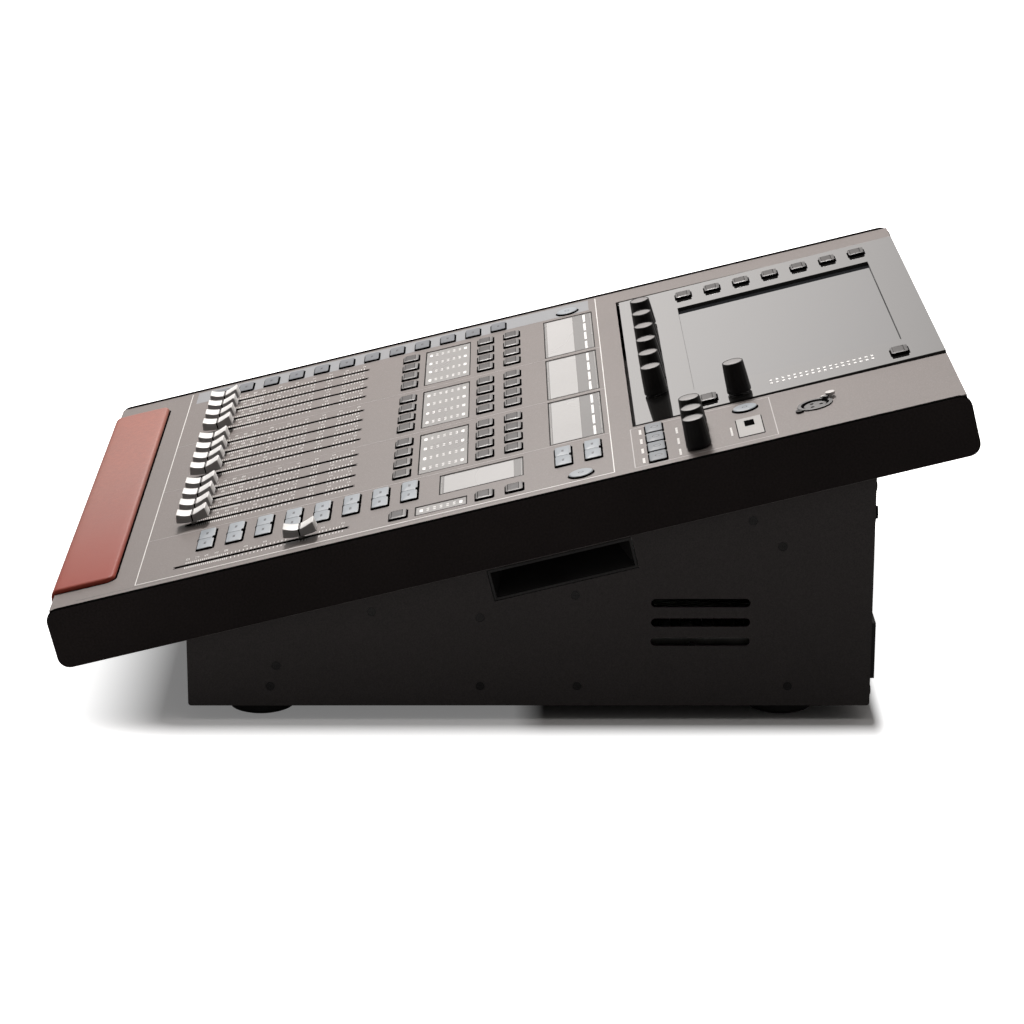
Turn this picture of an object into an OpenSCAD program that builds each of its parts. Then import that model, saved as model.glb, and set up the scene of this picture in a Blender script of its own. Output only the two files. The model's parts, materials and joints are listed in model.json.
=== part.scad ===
// Compact digital mixing console: a sloped control surface with motor faders,
// rotary controls, key banks and a tilting touch display on a sheet-metal base.
// +X is the operator's right, -Y the operator's side, +Z up, feet on Z = 0.

/* [Overall] */
// Width over the side cheeks
width = 480; // [476:1:490]
// Length of the side cheeks along the slope
slope_len = 608; // [606:1:612]
// Angle of the control surface
slope = 13.9; // [12:0.1:16]
// Height of the side cheeks, square to the slope
cheek_h = 39.6; // [38.5:0.1:42]
// Height of the top front edge above the table
front_z = 74; // [72:1:80]
// Thickness of the side cheeks
cheek_t = 4; // [3:0.5:7]
// Corner radius of the side cheeks
cheek_r = 8; // [4:0.5:12]

/* [Base] */
// Width of the base over its side walls
base_w = 474; // [470:1:475]
// Distance from the front edge to the base's front wall
base_front = 90.9; // [88:0.1:94]
// Distance from the front edge to the base's rear wall
base_rear = 533.3; // [530:0.1:536]
// Thickness of the sheet metal
sheet = 1.5; // [1:0.1:1.8]
// Height of the feet
foot_h = 10; // [8:1:12]
// Radius of the feet
foot_r = 22; // [16:1:24]

/* [Faders] */
// Travel of every fader
fader_travel = 100; // [60:5:100]
// Spacing of the faders inside a group of four
fader_pitch = 24.8; // [24:0.1:25]
// Spacing of the groups of four
group_pitch = 111.8; // [111:0.1:112]
// Width of a fader slot
slot_w = 2.6; // [2.4:0.1:3]
// Length of a fader cap
cap_l = 23.2; // [20:0.1:23.4]
// Width of a fader cap
cap_w = 13; // [10:0.5:13]

/* [Rotary controls] */
// Height of a knob above the surface
knob_h = 20; // [16:1:22]
// Radius of a knob at its foot
knob_r1 = 8.2; // [7:0.1:8.4]
// Radius of a knob at its top
knob_r2 = 7.1; // [5:0.1:7.4]

/* [Keys] */
// Height of the keys above the surface
key_h = 1.5; // [1.2:0.1:2.6]
// Gap between a key and its opening
key_gap = 0.6; // [0.4:0.1:0.7]

/* [Display] */
// Tilt of the closed display relative to the surface
rest_tilt = 0.4; // [0:0.1:0.5]

/* [Hidden] */
$fn = 48;

// colours shared by several nodes
BASE_BLACK = [0.1, 0.1, 0.11];
CHEEK_BLACK = [0.08, 0.08, 0.08];
KNOB_BLACK = [0.05, 0.05, 0.05];
KEY_GREY = [0.5, 0.5, 0.5];
KEY_BLUE = [0.68, 0.74, 0.8];
CAP_WHITE = [0.85, 0.85, 0.84];
BARE_METAL = [0.7, 0.7, 0.72];
BOARD_GREEN = [0.05, 0.25, 0.12];

// ---- frames -------------------------------------------------------------
// Surface frame: x across, y up the slope from the front edge, z square above it.
palm_t = 3;              // height of the palm rest above the surface
// level distance from the front edge to the rearmost point of the cheeks
reach = (slope_len - cheek_r) * cos(slope) + (cheek_h - cheek_r) * sin(slope) + cheek_r;
front_y = -(reach - palm_t * sin(slope)) / 2;  // centres the console front to back
hinge_y = 400;           // display hinge axis, in the surface frame
hinge_z = -4.5;

module on_surface() translate([0, front_y, front_z]) rotate([slope, 0, 0]) children();
// surface frame tipped about the display hinge
module on_display()
  on_surface() translate([0, hinge_y, hinge_z]) rotate([rest_tilt, 0, 0])
    translate([0, -hinge_y, -hinge_z]) children();

// ---- shared shapes --------------------------------------------------------
function grow(size, edge) = [size.x + 2 * edge, size.y + 2 * edge];

module box(low, high) translate(low) cube(high - low);
// box between two x values in either order; low and high are [y, z]
module span(ends, low, high)
  box([min(ends), low[0], low[1]], [max(ends), high[0], high[1]]);
// box over an area [[x, y], [x, y]], drawn in by inset
module over(area, inset, z0, z1)
  box([area[0].x + inset, area[0].y + inset, z0], [area[1].x - inset, area[1].y - inset, z1]);
// box centred on a point of the plane
module slab(size, z0, z1, at = [0, 0])
  translate([at.x - size.x / 2, at.y - size.y / 2, z0]) cube([size.x, size.y, z1 - z0]);
module disc(r, z0, z1, at = [0, 0])
  translate([at.x, at.y, z0]) cylinder(r = r, h = z1 - z0);
module rod_x(start, r, h) translate(start) rotate([0, 90, 0]) cylinder(r = r, h = h);
// profile drawn in (y, z), extruded along x
module extrude_x(x0, x1)
  translate([x0, 0, 0]) rotate([90, 0, 90]) linear_extrude(x1 - x0) children();
// screw head with a crossed recess
module screw_head(r, h, recess_z, recess = [3.6, 0.7]) difference() {
  cylinder(r = r, h = h);
  slab(recess, recess_z, recess_z + 1);
  slab([recess.y, recess.x], recess_z, recess_z + 1);
}

// ---- layout of the control surface ----------------------------------------
channels = 12;
last_channel_x = 117;
main_x = 208;
// x of a channel, numbered from 1 at the left, and of a group, from 0 at the right
function channel_x(k) = last_channel_x - fader_pitch * ((channels - k) % 4)
  - group_pitch * floor((channels - k) / 4);
function group_x(group) = last_channel_x - 1.5 * fader_pitch - group_pitch * group;

slot_y0 = 84;            // front end of the fader slots
cap_y = 90.2;            // channel caps, at the bottom of their travel
slot_y1 = cap_y + fader_travel + 10.8;
main_cap_y = 169.9;
fader_x = concat([for (k = [1:channels]) channel_x(k)], [main_x]);

// key sizes, across and along the slope
SMALL = [16, 11.4];
WIDE = [20.2, 10.9];
USER = [19, 11.2];
small_key_shift = 0.4;   // offset of the small keys from their fader's line
pair_half = 10.25;       // half the spacing of paired keys
function key_row(y) = [for (x = fader_x) [x + small_key_shift, y]];

// places, [x, y] in the surface frame
select_at = key_row(234.3);
solo_at = key_row(291.8);
mute_at = key_row(311.8);
layer_at = [for (i = [0:11]) [-213.2, 83.4 + 19.85 * i]];
bank_at = [for (i = [0:7], side = [-1, 1]) [162 + side * pair_half, 102.4 + 19.8 * i]];
command_at = [for (y = [345.2, 365.2], side = [-1, 1]) [165.6 + side * pair_half, y]];
user_at = [for (i = [0:3]) [149.9 + 21.6 * i, 406.8]];
round_at = [[212.4, 356], [-210.5, 355.5], [153.5, 468.2]];
screen_key_at = concat([for (i = [0:6]) [-175, 444.2 + 22.05 * i]],
                       [[112, 446.2], [110, 577.3]]);
encoder_at = [for (i = [0:5]) [-117.2 + 37 * i, 412.6]];
wheel_at = [113.5, 467.5];
custom_at = [for (i = [0:2]) [164.2 + 24.5 * i, 434]];
usb_at = [195.3, 468.6];
USB = [40.6, 16.8];
talkback_at = [181.7, 512.8];

// windows, [centre, size]
display_windows = concat([for (g = [0:2]) [[group_x(g), 355.2], [103, 36.6]]],
                         [[[162.8, 289.6], [41, 56.2]]]);
meter_windows = concat([for (g = [0:2]) [[group_x(g), 262.8], [93, 34]]],
                       [[[main_x + 0.8, 262.8], [17, 34]]]);

// display unit and its screen, [front left, rear right]
UNIT = [[-202, 395.4], [131.4, 606]];
SCREEN = [[-144, 438], [81, 582]];
unit_x0 = UNIT[0].x;
unit_x1 = UNIT[1].x;

// ---- base ---------------------------------------------------------------
half_base = base_w / 2;
base_y0 = front_y + base_front;
base_y1 = front_y + base_rear;
// height of the sloped top of the base walls, just under the cheeks
function wall_top(y) = front_z + tan(slope) * (y - front_y) + (-cheek_h - 0.4) / cos(slope);

// three long openings in each side
vent_y = 422.6;          // centre, from the front edge
vent_half = 29;
vent_r = 3;
vent_z = [80.2, 66.9, 53.8];
// grip openings, in the surface frame
grip_y = [283, 378.5];
grip_z = [-62.5, -41];
// [distance from the front edge, height above the table]
side_screws = [[455.1, 135.9], [474.4, 118.5], [479.7, 23.3], [343.2, 23.3], [341.8, 85.7],
               [280.4, 70.4], [280.4, 23.4], [210.6, 74.5], [148.5, 37.5], [144.4, 23.4]];
// [x, z] on the rear panel
rear_screws = [for (x = [-half_base + 8, 0, half_base - 8],
                    z = [foot_h + 8, wall_top(base_y1) - 8]) [x, z]];

// quarter arc about (y, z)
function arc(y, z, r, start) =
  [for (i = [0:5]) [y + r * cos(start + 18 * i), z + r * sin(start + 18 * i)]];
module base_outline()
  polygon(concat(arc(base_y0 + 2, foot_h + 2, 2, 180), arc(base_y1 - 2, foot_h + 2, 2, 270),
                 [[base_y1, wall_top(base_y1)], [base_y0, wall_top(base_y0)]]));
// inside of the base, run out through the rear and the top
module base_cavity() {
  inner_y = base_y0 + sheet;
  inner_z = foot_h + sheet;
  past_y = base_y1 + 10;
  polygon([[inner_y, inner_z], [past_y, inner_z],
           [past_y, wall_top(past_y) + 20], [inner_y, wall_top(inner_y) + 20]]);
}
// bore through both side walls; y from the front edge
module side_bore(y, z, r) rod_x([-half_base - 1, front_y + y, z], r, base_w + 2);
// frame on a side wall, z outward; side is -1 for left, 1 for right
module on_side(side, at)
  translate([side * half_base, front_y + at[0], at[1]]) rotate([0, side * 90, 0]) children();

module chassis_tub() color(BASE_BLACK) difference() {
  extrude_x(-half_base, half_base) base_outline();
  extrude_x(-half_base + sheet, half_base - sheet) base_cavity();
  for (z = vent_z) {
    box([-half_base - 1, front_y + vent_y - vent_half, z - vent_r],
        [half_base + 1, front_y + vent_y + vent_half, z + vent_r]);
    for (end = [-vent_half, vent_half]) side_bore(vent_y + end, z, vent_r);
  }
  on_surface() box([-half_base - 1, grip_y[0], grip_z[0]], [half_base + 1, grip_y[1], grip_z[1]]);
  for (p = side_screws) {
    side_bore(p[0], p[1], 1.7);
    for (side = [-1, 1]) on_side(side, p) disc(3, -0.9, 1.1);
  }
  // round holes in the floor
  for (i = [0:11], j = [0:2]) disc(3, foot_h - 1, foot_h + 3, [-110 + 20 * i, base_y0 + 120 + 70 * j]);
}

module rubber_feet() color([0.06, 0.06, 0.06])
  for (x = [-206, 206], y = [137, 477]) translate([x, front_y + y, 0])
    rotate_extrude() polygon([[0, 1.5], [4, 1.5], [5, 0], [foot_r - 3, 0], [foot_r - 0.9, 0.9],
                              [foot_r, 3], [foot_r, foot_h], [0, foot_h]]);

module case_screws() color([0.16, 0.16, 0.17]) {
  // sunk into the sides
  for (side = [-1, 1], p = side_screws) on_side(side, p) {
    translate([0, 0, -0.85]) screw_head(r = 2.8, h = 0.65, recess_z = 0.35);
    disc(1.5, -6, -0.7);
  }
  // standing on the rear panel
  for (p = rear_screws) on_rear(p[0], p[1]) {
    screw_head(r = 2.9, h = 1.1, recess_z = 0.6);
    disc(1.5, -6, 0);
  }
}

// moulded grip pockets behind the openings in the base sides
cup_low = [grip_y[0] + 0.4, grip_z[0] + 0.4];
cup_high = [grip_y[1] - 0.4, grip_z[1] - 0.4];
cup_wall = 1.6;
// tapers from the mouth to a lower end; both are pairs of x values
module cup_block(mouth, end, inset) {
  edge = [inset, inset];
  hull() {
    on_surface() span(mouth, cup_low + edge, cup_high - edge);
    on_surface() span(end, [cup_low[0] + 8, cup_high[1] - 7] + edge,
                      cup_high - [10, 0] - edge);
  }
}
module handle_cup(side) {
  mouth = side * (half_base - 0.2);
  end = side * (half_base - 26);
  difference() {
    cup_block([mouth, mouth - side], [end, end + side], 0);
    cup_block([mouth - side, mouth + 2 * side], [end + 1.5 * side, end + 2.5 * side], cup_wall);
  }
}
module handle_cups() color([0.09, 0.09, 0.09]) {
  handle_cup(1);
  handle_cup(-1);
}

// ---- upper body ---------------------------------------------------------
tray_half = width / 2 - cheek_t - 0.1;   // half width between the cheeks

module cheek_outline() {
  translate([cheek_r, -cheek_h]) square([slope_len - 2 * cheek_r, cheek_h]);
  translate([0, -cheek_h + cheek_r]) square([slope_len, cheek_h - 2 * cheek_r]);
  for (y = [cheek_r, slope_len - cheek_r], z = [-cheek_h + cheek_r, -cheek_r])
    translate([y, z]) circle(cheek_r);
}
module cheek(x0) on_surface() extrude_x(x0, x0 + cheek_t) cheek_outline();
module left_cheek() color(CHEEK_BLACK) cheek(-width / 2);
module right_cheek() color(CHEEK_BLACK) cheek(width / 2 - cheek_t);

tray_y = [5.2, 604];
tray_z = -cheek_h + 0.2;
module upper_tray() color([0.12, 0.12, 0.13]) on_surface() difference() {
  box([-tray_half, tray_y[0], tray_z], [tray_half, tray_y[1], -2.2]);
  box([-tray_half + sheet, tray_y[0] + sheet, tray_z + sheet],
      [tray_half - sheet, tray_y[1] - sheet, 0]);
  // rear wall lowered under the display unit
  box([unit_x0 - 3, 590, -22], [unit_x1 + 3, 606, 0]);
  // openings down into the base
  box([-tray_half + 30, 112, -cheek_h - 1], [tray_half - 30, 380, -30]);
  box([-tray_half + 60, 400, -cheek_h - 1], [tray_half - 60, 520, -30]);
}

module keyhole(at, size, depth = 2) slab(grow(size, key_gap), -depth - 1, 1, at);
module shaft_hole(at) disc(4, -4, 2, at);
// round-ended slot of a fader
module fader_slot(x) {
  slab([slot_w, slot_y1 - slot_y0 - slot_w], -4, 1, [x, (slot_y0 + slot_y1) / 2]);
  for (y = [slot_y0 + slot_w / 2, slot_y1 - slot_w / 2]) disc(slot_w / 2, -4, 1, [x, y]);
}
module top_panel() color([0.42, 0.41, 0.40]) on_surface() difference() {
  union() {
    box([-tray_half, 3, -2], [tray_half, 606, 0]);
    // front apron
    box([-tray_half, 3, -cheek_h + 1], [tray_half, 5, -1.9]);
  }
  // bay of the display unit
  box([unit_x0 - 3.2, 393, -5], [unit_x1 + 3, 610, 1]);
  for (x = fader_x) fader_slot(x);
  for (p = concat(select_at, solo_at, mute_at)) keyhole(p, SMALL);
  for (p = concat(layer_at, bank_at, command_at)) keyhole(p, WIDE);
  for (p = user_at) keyhole(p, USER);
  for (p = round_at) disc(8.6, -4, 2, p);
  for (w = concat(display_windows, meter_windows)) slab(w[1], -4, 1, w[0]);
  slab(USB, -4, 1, usb_at);
  for (p = custom_at) shaft_hole(p);
  disc(11.9, -4, 2, talkback_at);
}

// strip over the front edge with a lip hanging in front
module palm_rest() color([0.66, 0.36, 0.32]) on_surface() difference() {
  box([-205, 0, -8], [205, 43.5, palm_t]);
  box([-206, 2.8, -9], [206, 50, 0.15]);
}

// ---- display unit ---------------------------------------------------------
unit_controls = concat(encoder_at, [wheel_at]);

module display_bezel() color([0.2, 0.2, 0.2]) on_display() difference() {
  over(UNIT, 0, -2.4, 0);
  over(SCREEN, 0, -4, 1);
  for (p = screen_key_at) keyhole(p, SMALL, 2.4);
  for (p = unit_controls) shaft_hole(p);
}
module display_glass() color([0.35, 0.36, 0.38]) on_display() over(SCREEN, -3, -7, -2.5);
module display_tub() color([0.1, 0.1, 0.1]) on_display() difference() {
  over(UNIT, 0.4, -17, -2.45);
  over(UNIT, 2.4, -15, 0);
  rod_x([unit_x0 - 1, hinge_y, hinge_z], 1.7, 500);
  // opening in the floor
  box([-60, 560, -18], [0, 580, -14]);
}
module display_board() color(BOARD_GREEN) on_display() {
  difference() {
    box([unit_x0 + 4, UNIT[0].y + 4, -14], [unit_x1 - 4, UNIT[1].y - 6, -12.4]);
    box([-60, 556, -15], [0, 584, -12]);
  }
  // encoder bodies under the knobs
  for (p = unit_controls) slab([12, 12], -12.4, -8.3, p);
}
// on each side: a leaf standing on the tray, its foot, and a pin into the unit
module hinge_pins() color([0.6, 0.6, 0.62]) on_surface() for (side = [-1, 1]) {
  x = side < 0 ? unit_x0 - 0.8 : unit_x1 + 0.8;
  span([x, x + side * 1.5], [hinge_y - 6, -37.8], [hinge_y + 6, -2.2]);
  rod_x([min(x, x - side * 3), hinge_y, hinge_z], 1.6, 3);
  span([x, x + side * 14], [hinge_y - 6, -37.9], [hinge_y + 6, -36.5]);
}

// ---- knobs --------------------------------------------------------------
module knob(at, h = knob_h) translate([at.x, at.y, 0]) difference() {
  union() {
    disc(knob_r1, 1, 4);
    translate([0, 0, 4]) cylinder(r1 = knob_r1, r2 = knob_r2, h = h - 4);
    disc(3, -8, 2);
  }
  // shallow dish in the top
  disc(knob_r2 - 0.8, h - 0.5, h + 0.5);
}
module encoder_knob(k) color(KNOB_BLACK) on_display() knob(encoder_at[k - 1]);
module encoder_knob_1() encoder_knob(1);
module encoder_knob_2() encoder_knob(2);
module encoder_knob_3() encoder_knob(3);
module encoder_knob_4() encoder_knob(4);
module encoder_knob_5() encoder_knob(5);
module encoder_knob_6() encoder_knob(6);
module select_wheel() color(KNOB_BLACK) on_display() knob(wheel_at, knob_h + 2);
module custom_knob(k) color(KNOB_BLACK) on_surface() knob(custom_at[k - 1]);
module custom_knob_1() custom_knob(1);
module custom_knob_2() custom_knob(2);
module custom_knob_3() custom_knob(3);

// ---- faders -------------------------------------------------------------
// cap profile, [y, z]: raised ends, a hollow between them, a centre notch
cap_half = cap_l / 2;
cap_profile = concat(
  // front end
  [[-cap_half + 0.3, 4.9], [-cap_half + 0.2, 5.6], [-cap_half + 1.3, 10.6],
   [-cap_half + 1.8, 11]],
  // fall to the middle
  [for (i = [1:8]) let (t = i / 8)
    [-cap_half + 1.8 + t * (cap_half - 2.2), 8.5 + 2.5 * pow(1 - t, 1.9)]],
  // notch
  [[-0.35, 7.5], [0.35, 7.5], [0.5, 8.6]],
  // rise to the rear
  [for (i = [1:8]) let (t = i / 8) [0.5 + t * (cap_half - 2), 8.6 + 2.9 * pow(t, 1.35)]],
  // rear end and underside
  [[cap_half - 1, 11.1], [cap_half, 4.5], [cap_half - 0.4, 4], [cap_half / 2, 3.4], [0, 3],
   [-cap_half / 2, 3.7], [-cap_half + 0.9, 4.6]]);

module fader(x, y) translate([x, y, 0]) {
  difference() {
    extrude_x(-cap_w / 2, cap_w / 2) polygon(cap_profile);
    slab([1.4, 4.2], 1.5, 6.1);
  }
  // metal lever and its carriage
  slab([1.2, 4], -9, 6);
  difference() {
    slab([10, 12], -14, -8);
    slab([1.3, 4.1], -10, -7);
  }
}
module channel_cap(k) color(CAP_WHITE) on_surface() fader(channel_x(k), cap_y);
module fader_cap_01() channel_cap(1);
module fader_cap_02() channel_cap(2);
module fader_cap_03() channel_cap(3);
module fader_cap_04() channel_cap(4);
module fader_cap_05() channel_cap(5);
module fader_cap_06() channel_cap(6);
module fader_cap_07() channel_cap(7);
module fader_cap_08() channel_cap(8);
module fader_cap_09() channel_cap(9);
module fader_cap_10() channel_cap(10);
module fader_cap_11() channel_cap(11);
module fader_cap_12() channel_cap(12);
module main_fader_cap() color(CAP_WHITE) on_surface() fader(main_x, main_cap_y);

module fader_frames() color([0.62, 0.62, 0.63]) on_surface() for (x = fader_x) {
  outer = [[x - 7.5, 72], [x + 7.5, 214]];
  wall = 1.2;
  difference() {
    over(outer, 0, -19, -2.3);
    over(outer, wall, -19 + wall, -2.3 - wall);
    box([x - slot_w / 2, slot_y0, -4], [x + slot_w / 2, slot_y1, 0]);
  }
}
// lying along the slope, shaft to the rear
module fader_motors() color(BARE_METAL) on_surface() for (x = fader_x)
  translate([x, 186, -27]) rotate([-90, 0, 0]) {
    disc(7, 0, 26);
    disc(1, 26, 30);
  }

// ---- keys and windows -----------------------------------------------------
// rim is how much the hidden flange exceeds the key
module key(at, size, top = key_h, rim = [2, 2]) {
  slab(size, -3, top, at);
  slab(size + rim, -3.8, -2.8, at);
}
// key of a pair, with no flange at its sides
module paired_key(at) key(at, WIDE, rim = [0, 2]);

module select_keys() color(KEY_GREY) on_surface() for (p = select_at) key(p, SMALL);
module solo_keys() color(KEY_GREY) on_surface() for (p = solo_at) key(p, SMALL);
module mute_keys() color(KEY_GREY) on_surface() for (p = mute_at) key(p, SMALL);
module screen_keys() color(KEY_GREY) on_display()
  for (p = screen_key_at) key(p, SMALL, key_h + 0.7);
module layer_keys() color(KEY_BLUE) on_surface() for (p = layer_at) key(p, WIDE);
module bank_keys() color(KEY_BLUE) on_surface() for (p = bank_at) paired_key(p);
module command_keys() color(KEY_BLUE) on_surface() {
  for (p = command_at) paired_key(p);
  for (p = user_at) key(p, USER);
}
module round_keys() color(KEY_BLUE) on_surface() for (p = round_at) {
  disc(8, -3, key_h, p);
  disc(9, -3.8, -2.8, p);
}

// panes set into windows with a small gap all round
module panes(windows, bottom) on_surface()
  for (w = windows) slab(grow(w[1], -0.2), bottom, -0.3, w[0]);
module channel_displays() color([0.9, 0.9, 0.9]) panes(display_windows, -6);
module meter_lenses() color([0.8, 0.8, 0.79]) panes(meter_windows, -3.4);

// ---- inside ---------------------------------------------------------------
module control_boards() color(BOARD_GREEN) on_surface() {
  box([-229, 222, -9.6], [229, 384, -8]);
  box([144, 96, -9.6], [186, 215, -8]);
  box([-224, 76, -9.6], [-201, 215, -8]);
  box([138, 396, -13.6], [229, 456, -12]);
  // switches under the keys
  for (p = concat(select_at, solo_at, mute_at, layer_at, command_at, bank_at))
    slab([6, 6], -8, -5.4, p);
  for (p = user_at) slab([6, 6], -12, -5.4, p);
  // bodies under the custom knobs
  for (p = custom_at) slab([12, 12], -12, -8.3, p);
}

main_board_z = foot_h + 14;
main_board_top = main_board_z + 1.6;
module main_board() color(BOARD_GREEN) {
  box([-150, base_y0 + 60, main_board_z], [140, base_y1 - 40, main_board_top]);
  // standoffs
  for (x = [-140, -5, 130], y = [base_y0 + 70, base_y1 - 50])
    disc(3, foot_h + sheet, main_board_z, [x, y]);
  // components
  for (x = [-60, 0])
    box([x, base_y0 + 130, main_board_top], [x + 30, base_y0 + 160, main_board_top + 3.4]);
  box([-100, base_y1 - 90, main_board_top], [-70, base_y1 - 60, main_board_top + 2.4]);
}

module power_supply() color(BARE_METAL) {
  low = [160, base_y1 - 180, foot_h + sheet + 4];
  high = [225, base_y1 - 50, foot_h + 44];
  wall = [2, 2, 2];
  difference() {
    box(low, high);
    box(low + wall, high - wall);
    // slots in the lid
    for (i = [0:7])
      box([170, base_y1 - 170 + 14 * i, foot_h + 40], [215, base_y1 - 164 + 14 * i, foot_h + 46]);
  }
}

// fan inside the left wall, behind the side openings; local z points to +X
module at_fan()
  translate([-half_base + sheet + 1, front_y + vent_y, 71]) rotate([0, 90, 0]) children();
module fan_housing() color([0.08, 0.08, 0.08]) at_fan() {
  difference() {
    slab([60, 60], 0, 15);
    disc(28, -1, 19);
    for (x = [-25, 25], y = [-25, 25]) disc(2.1, -1, 19, [x, y]);
  }
  // hub with its bearing bore, on four arms
  difference() {
    disc(13, 0, 3);
    disc(2.1, 1, 6);
  }
  for (angle = [45:90:315]) rotate([0, 0, angle]) box([12, -1.5, 0], [29, 1.5, 2]);
}
blades = 7;
module fan_rotor() color([0.12, 0.12, 0.12]) at_fan() {
  disc(12.5, 4, 13.5);
  disc(2, 1.3, 4.3);
  for (i = [0:blades - 1]) rotate([0, 0, i * 360 / blades])
    translate([11.5, 0, 8.7]) rotate([32, 0, 0]) box([0, -5, -0.6], [14.5, 5, 0.6]);
}

// ---- rear panel and its sockets -------------------------------------------
upper_row_z = 138;
lower_row_z = 102;
jack_z = 62;
column_x = [for (i = [0:7]) -212 + 30 * i];   // XLR and jack columns
din_x = [42, 72];
din_z = upper_row_z - 4;
bnc_x = [198, 221];
bnc_z = 136.6;
net_x = [108, 130, 152];
square_at = [192.5, lower_row_z];             // square socket
inlet_x = 208;
inlet_at = [inlet_x, 43];
lead_at = [inlet_x, 36.5];                    // socket for the mains lead
rocker_at = [inlet_x, 54.2];

// frame on the rear wall, z outward and y down
module on_rear(x, z) translate([x, base_y1, z]) rotate([-90, 0, 0]) children();
module rear_hole(x, z, r)
  translate([x, base_y1 + 1, z]) rotate([90, 0, 0]) cylinder(r = r, h = 4);
// box about [x, z]; y0 and y1 are measured outward from the rear wall
module rear_box(at, size, y0, y1)
  box([at[0] - size[0] / 2, base_y1 + y0, at[1] - size[1] / 2],
      [at[0] + size[0] / 2, base_y1 + y1, at[1] + size[1] / 2]);

module rear_panel() color(BASE_BLACK) difference() {
  box([-half_base + sheet + 0.1, base_y1 - sheet, foot_h + sheet + 0.1],
      [half_base - sheet - 0.1, base_y1, wall_top(base_y1) - 0.6]);
  for (x = column_x) {
    rear_hole(x, upper_row_z, 11.6);
    rear_hole(x, lower_row_z, 11.6);
    rear_hole(x, jack_z, 5.2);
  }
  for (x = din_x) rear_hole(x, din_z, 8.4);
  for (x = bnc_x) rear_hole(x, bnc_z, 3.3);
  for (x = net_x) rear_box([x, lower_row_z], [16.4, 14], -4, 1);
  rear_box(square_at, [13, 12], -4, 1);
  rear_box(inlet_at, [29, 34.8], -4, 1);
  // row of upright slots near the bottom
  for (i = [0:13]) rear_box([-205 + 14 * i, 33], [6, 18], -4, 1);
  for (p = rear_screws) rear_hole(p[0], p[1], 1.6);
}

// three XLR contacts, as pins or as holes
module contacts(r, z0, z1)
  for (angle = [90, 210, 330]) rotate([0, 0, angle]) disc(r, z0, z1, [4, 0]);
module male_xlr() {
  difference() {
    union() {
      slab([26, 31], 0, 1.4);
      disc(11.4, -18, 0.2);
    }
    disc(9.3, -14, 6);
  }
  contacts(1.15, -14, -2);
}
module female_xlr() {
  difference() {
    union() {
      slab([26, 31], 0, 1.4);
      disc(11.4, -18, 0.2);
    }
    difference() {
      disc(9.3, -14, 6);
      disc(7.4, -14, 2);
    }
    contacts(1.3, -10, 10);
  }
  // latch tab
  slab([6, 3], 1.4, 2.8, [0, -13]);
}
module jack() difference() {
  union() {
    disc(7, 0, 2.2);
    disc(5, -20, 0.1);
  }
  disc(3.2, -17, 8);
}
module din() difference() {
  union() {
    disc(11, 0, 1.6);
    disc(8.2, -12, 0.1);
  }
  difference() {
    disc(7, -9, 6);
    disc(5.8, -10, 0.4);
  }
}
module bnc() difference() {
  union() {
    cylinder(r = 6.4, h = 1.6, $fn = 6);
    disc(4.2, 0, 3);
    disc(3.1, -10, 0.1);
  }
  difference() {
    disc(2.6, -6, 6);
    disc(0.8, -7, 2);
  }
}
module rear_connectors() color([0.14, 0.14, 0.15]) {
  for (x = column_x) {
    on_rear(x, upper_row_z) female_xlr();
    on_rear(x, lower_row_z) male_xlr();
    on_rear(x, jack_z) jack();
  }
  for (x = din_x) on_rear(x, din_z) din();
  for (x = bnc_x) on_rear(x, bnc_z) bnc();
  // network sockets
  for (x = net_x) difference() {
    rear_box([x, lower_row_z], [16, 13.6], -20, 0.6);
    rear_box([x, lower_row_z - 0.25], [12, 8.5], -16, 2);
  }
  // square socket with a tongue
  difference() {
    rear_box(square_at, [12.6, 11.6], -16, 0.6);
    difference() {
      rear_box(square_at, [8.6, 8], -12, 2);
      rear_box(square_at, [4.6, 3.2], -13, -2);
    }
  }
}

module mains_inlet() color([0.07, 0.07, 0.07]) difference() {
  union() {
    rear_box(inlet_at, [28.6, 34.4], -26, 0.1);
    rear_box(inlet_at, [32, 38], 0, 4);
  }
  // trench round the core of the lead socket, and its three contacts
  difference() {
    rear_box(lead_at, [24, 17], -14, 5);
    rear_box(lead_at, [19, 11], -15, 2.4);
  }
  for (x = [-6, 0, 6]) rear_box(lead_at + [x, 0], [2.4, 5], -12, 5);
  // bay of the rocker
  rear_box(rocker_at, [20.8, 11.6], -12, 5);
}
// [y, z]
rocker_profile = [[-4, -4], [2, -4.6], [4.9, -4.4], [5.4, -3.6], [4.7, 0], [6.9, 3.6],
                  [6.4, 4.2], [2, 4.4], [-4, 4]];
module power_rocker() color(KNOB_BLACK)
  translate([rocker_at[0], base_y1 - 2, rocker_at[1]]) extrude_x(-10, 10) polygon(rocker_profile);

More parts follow.
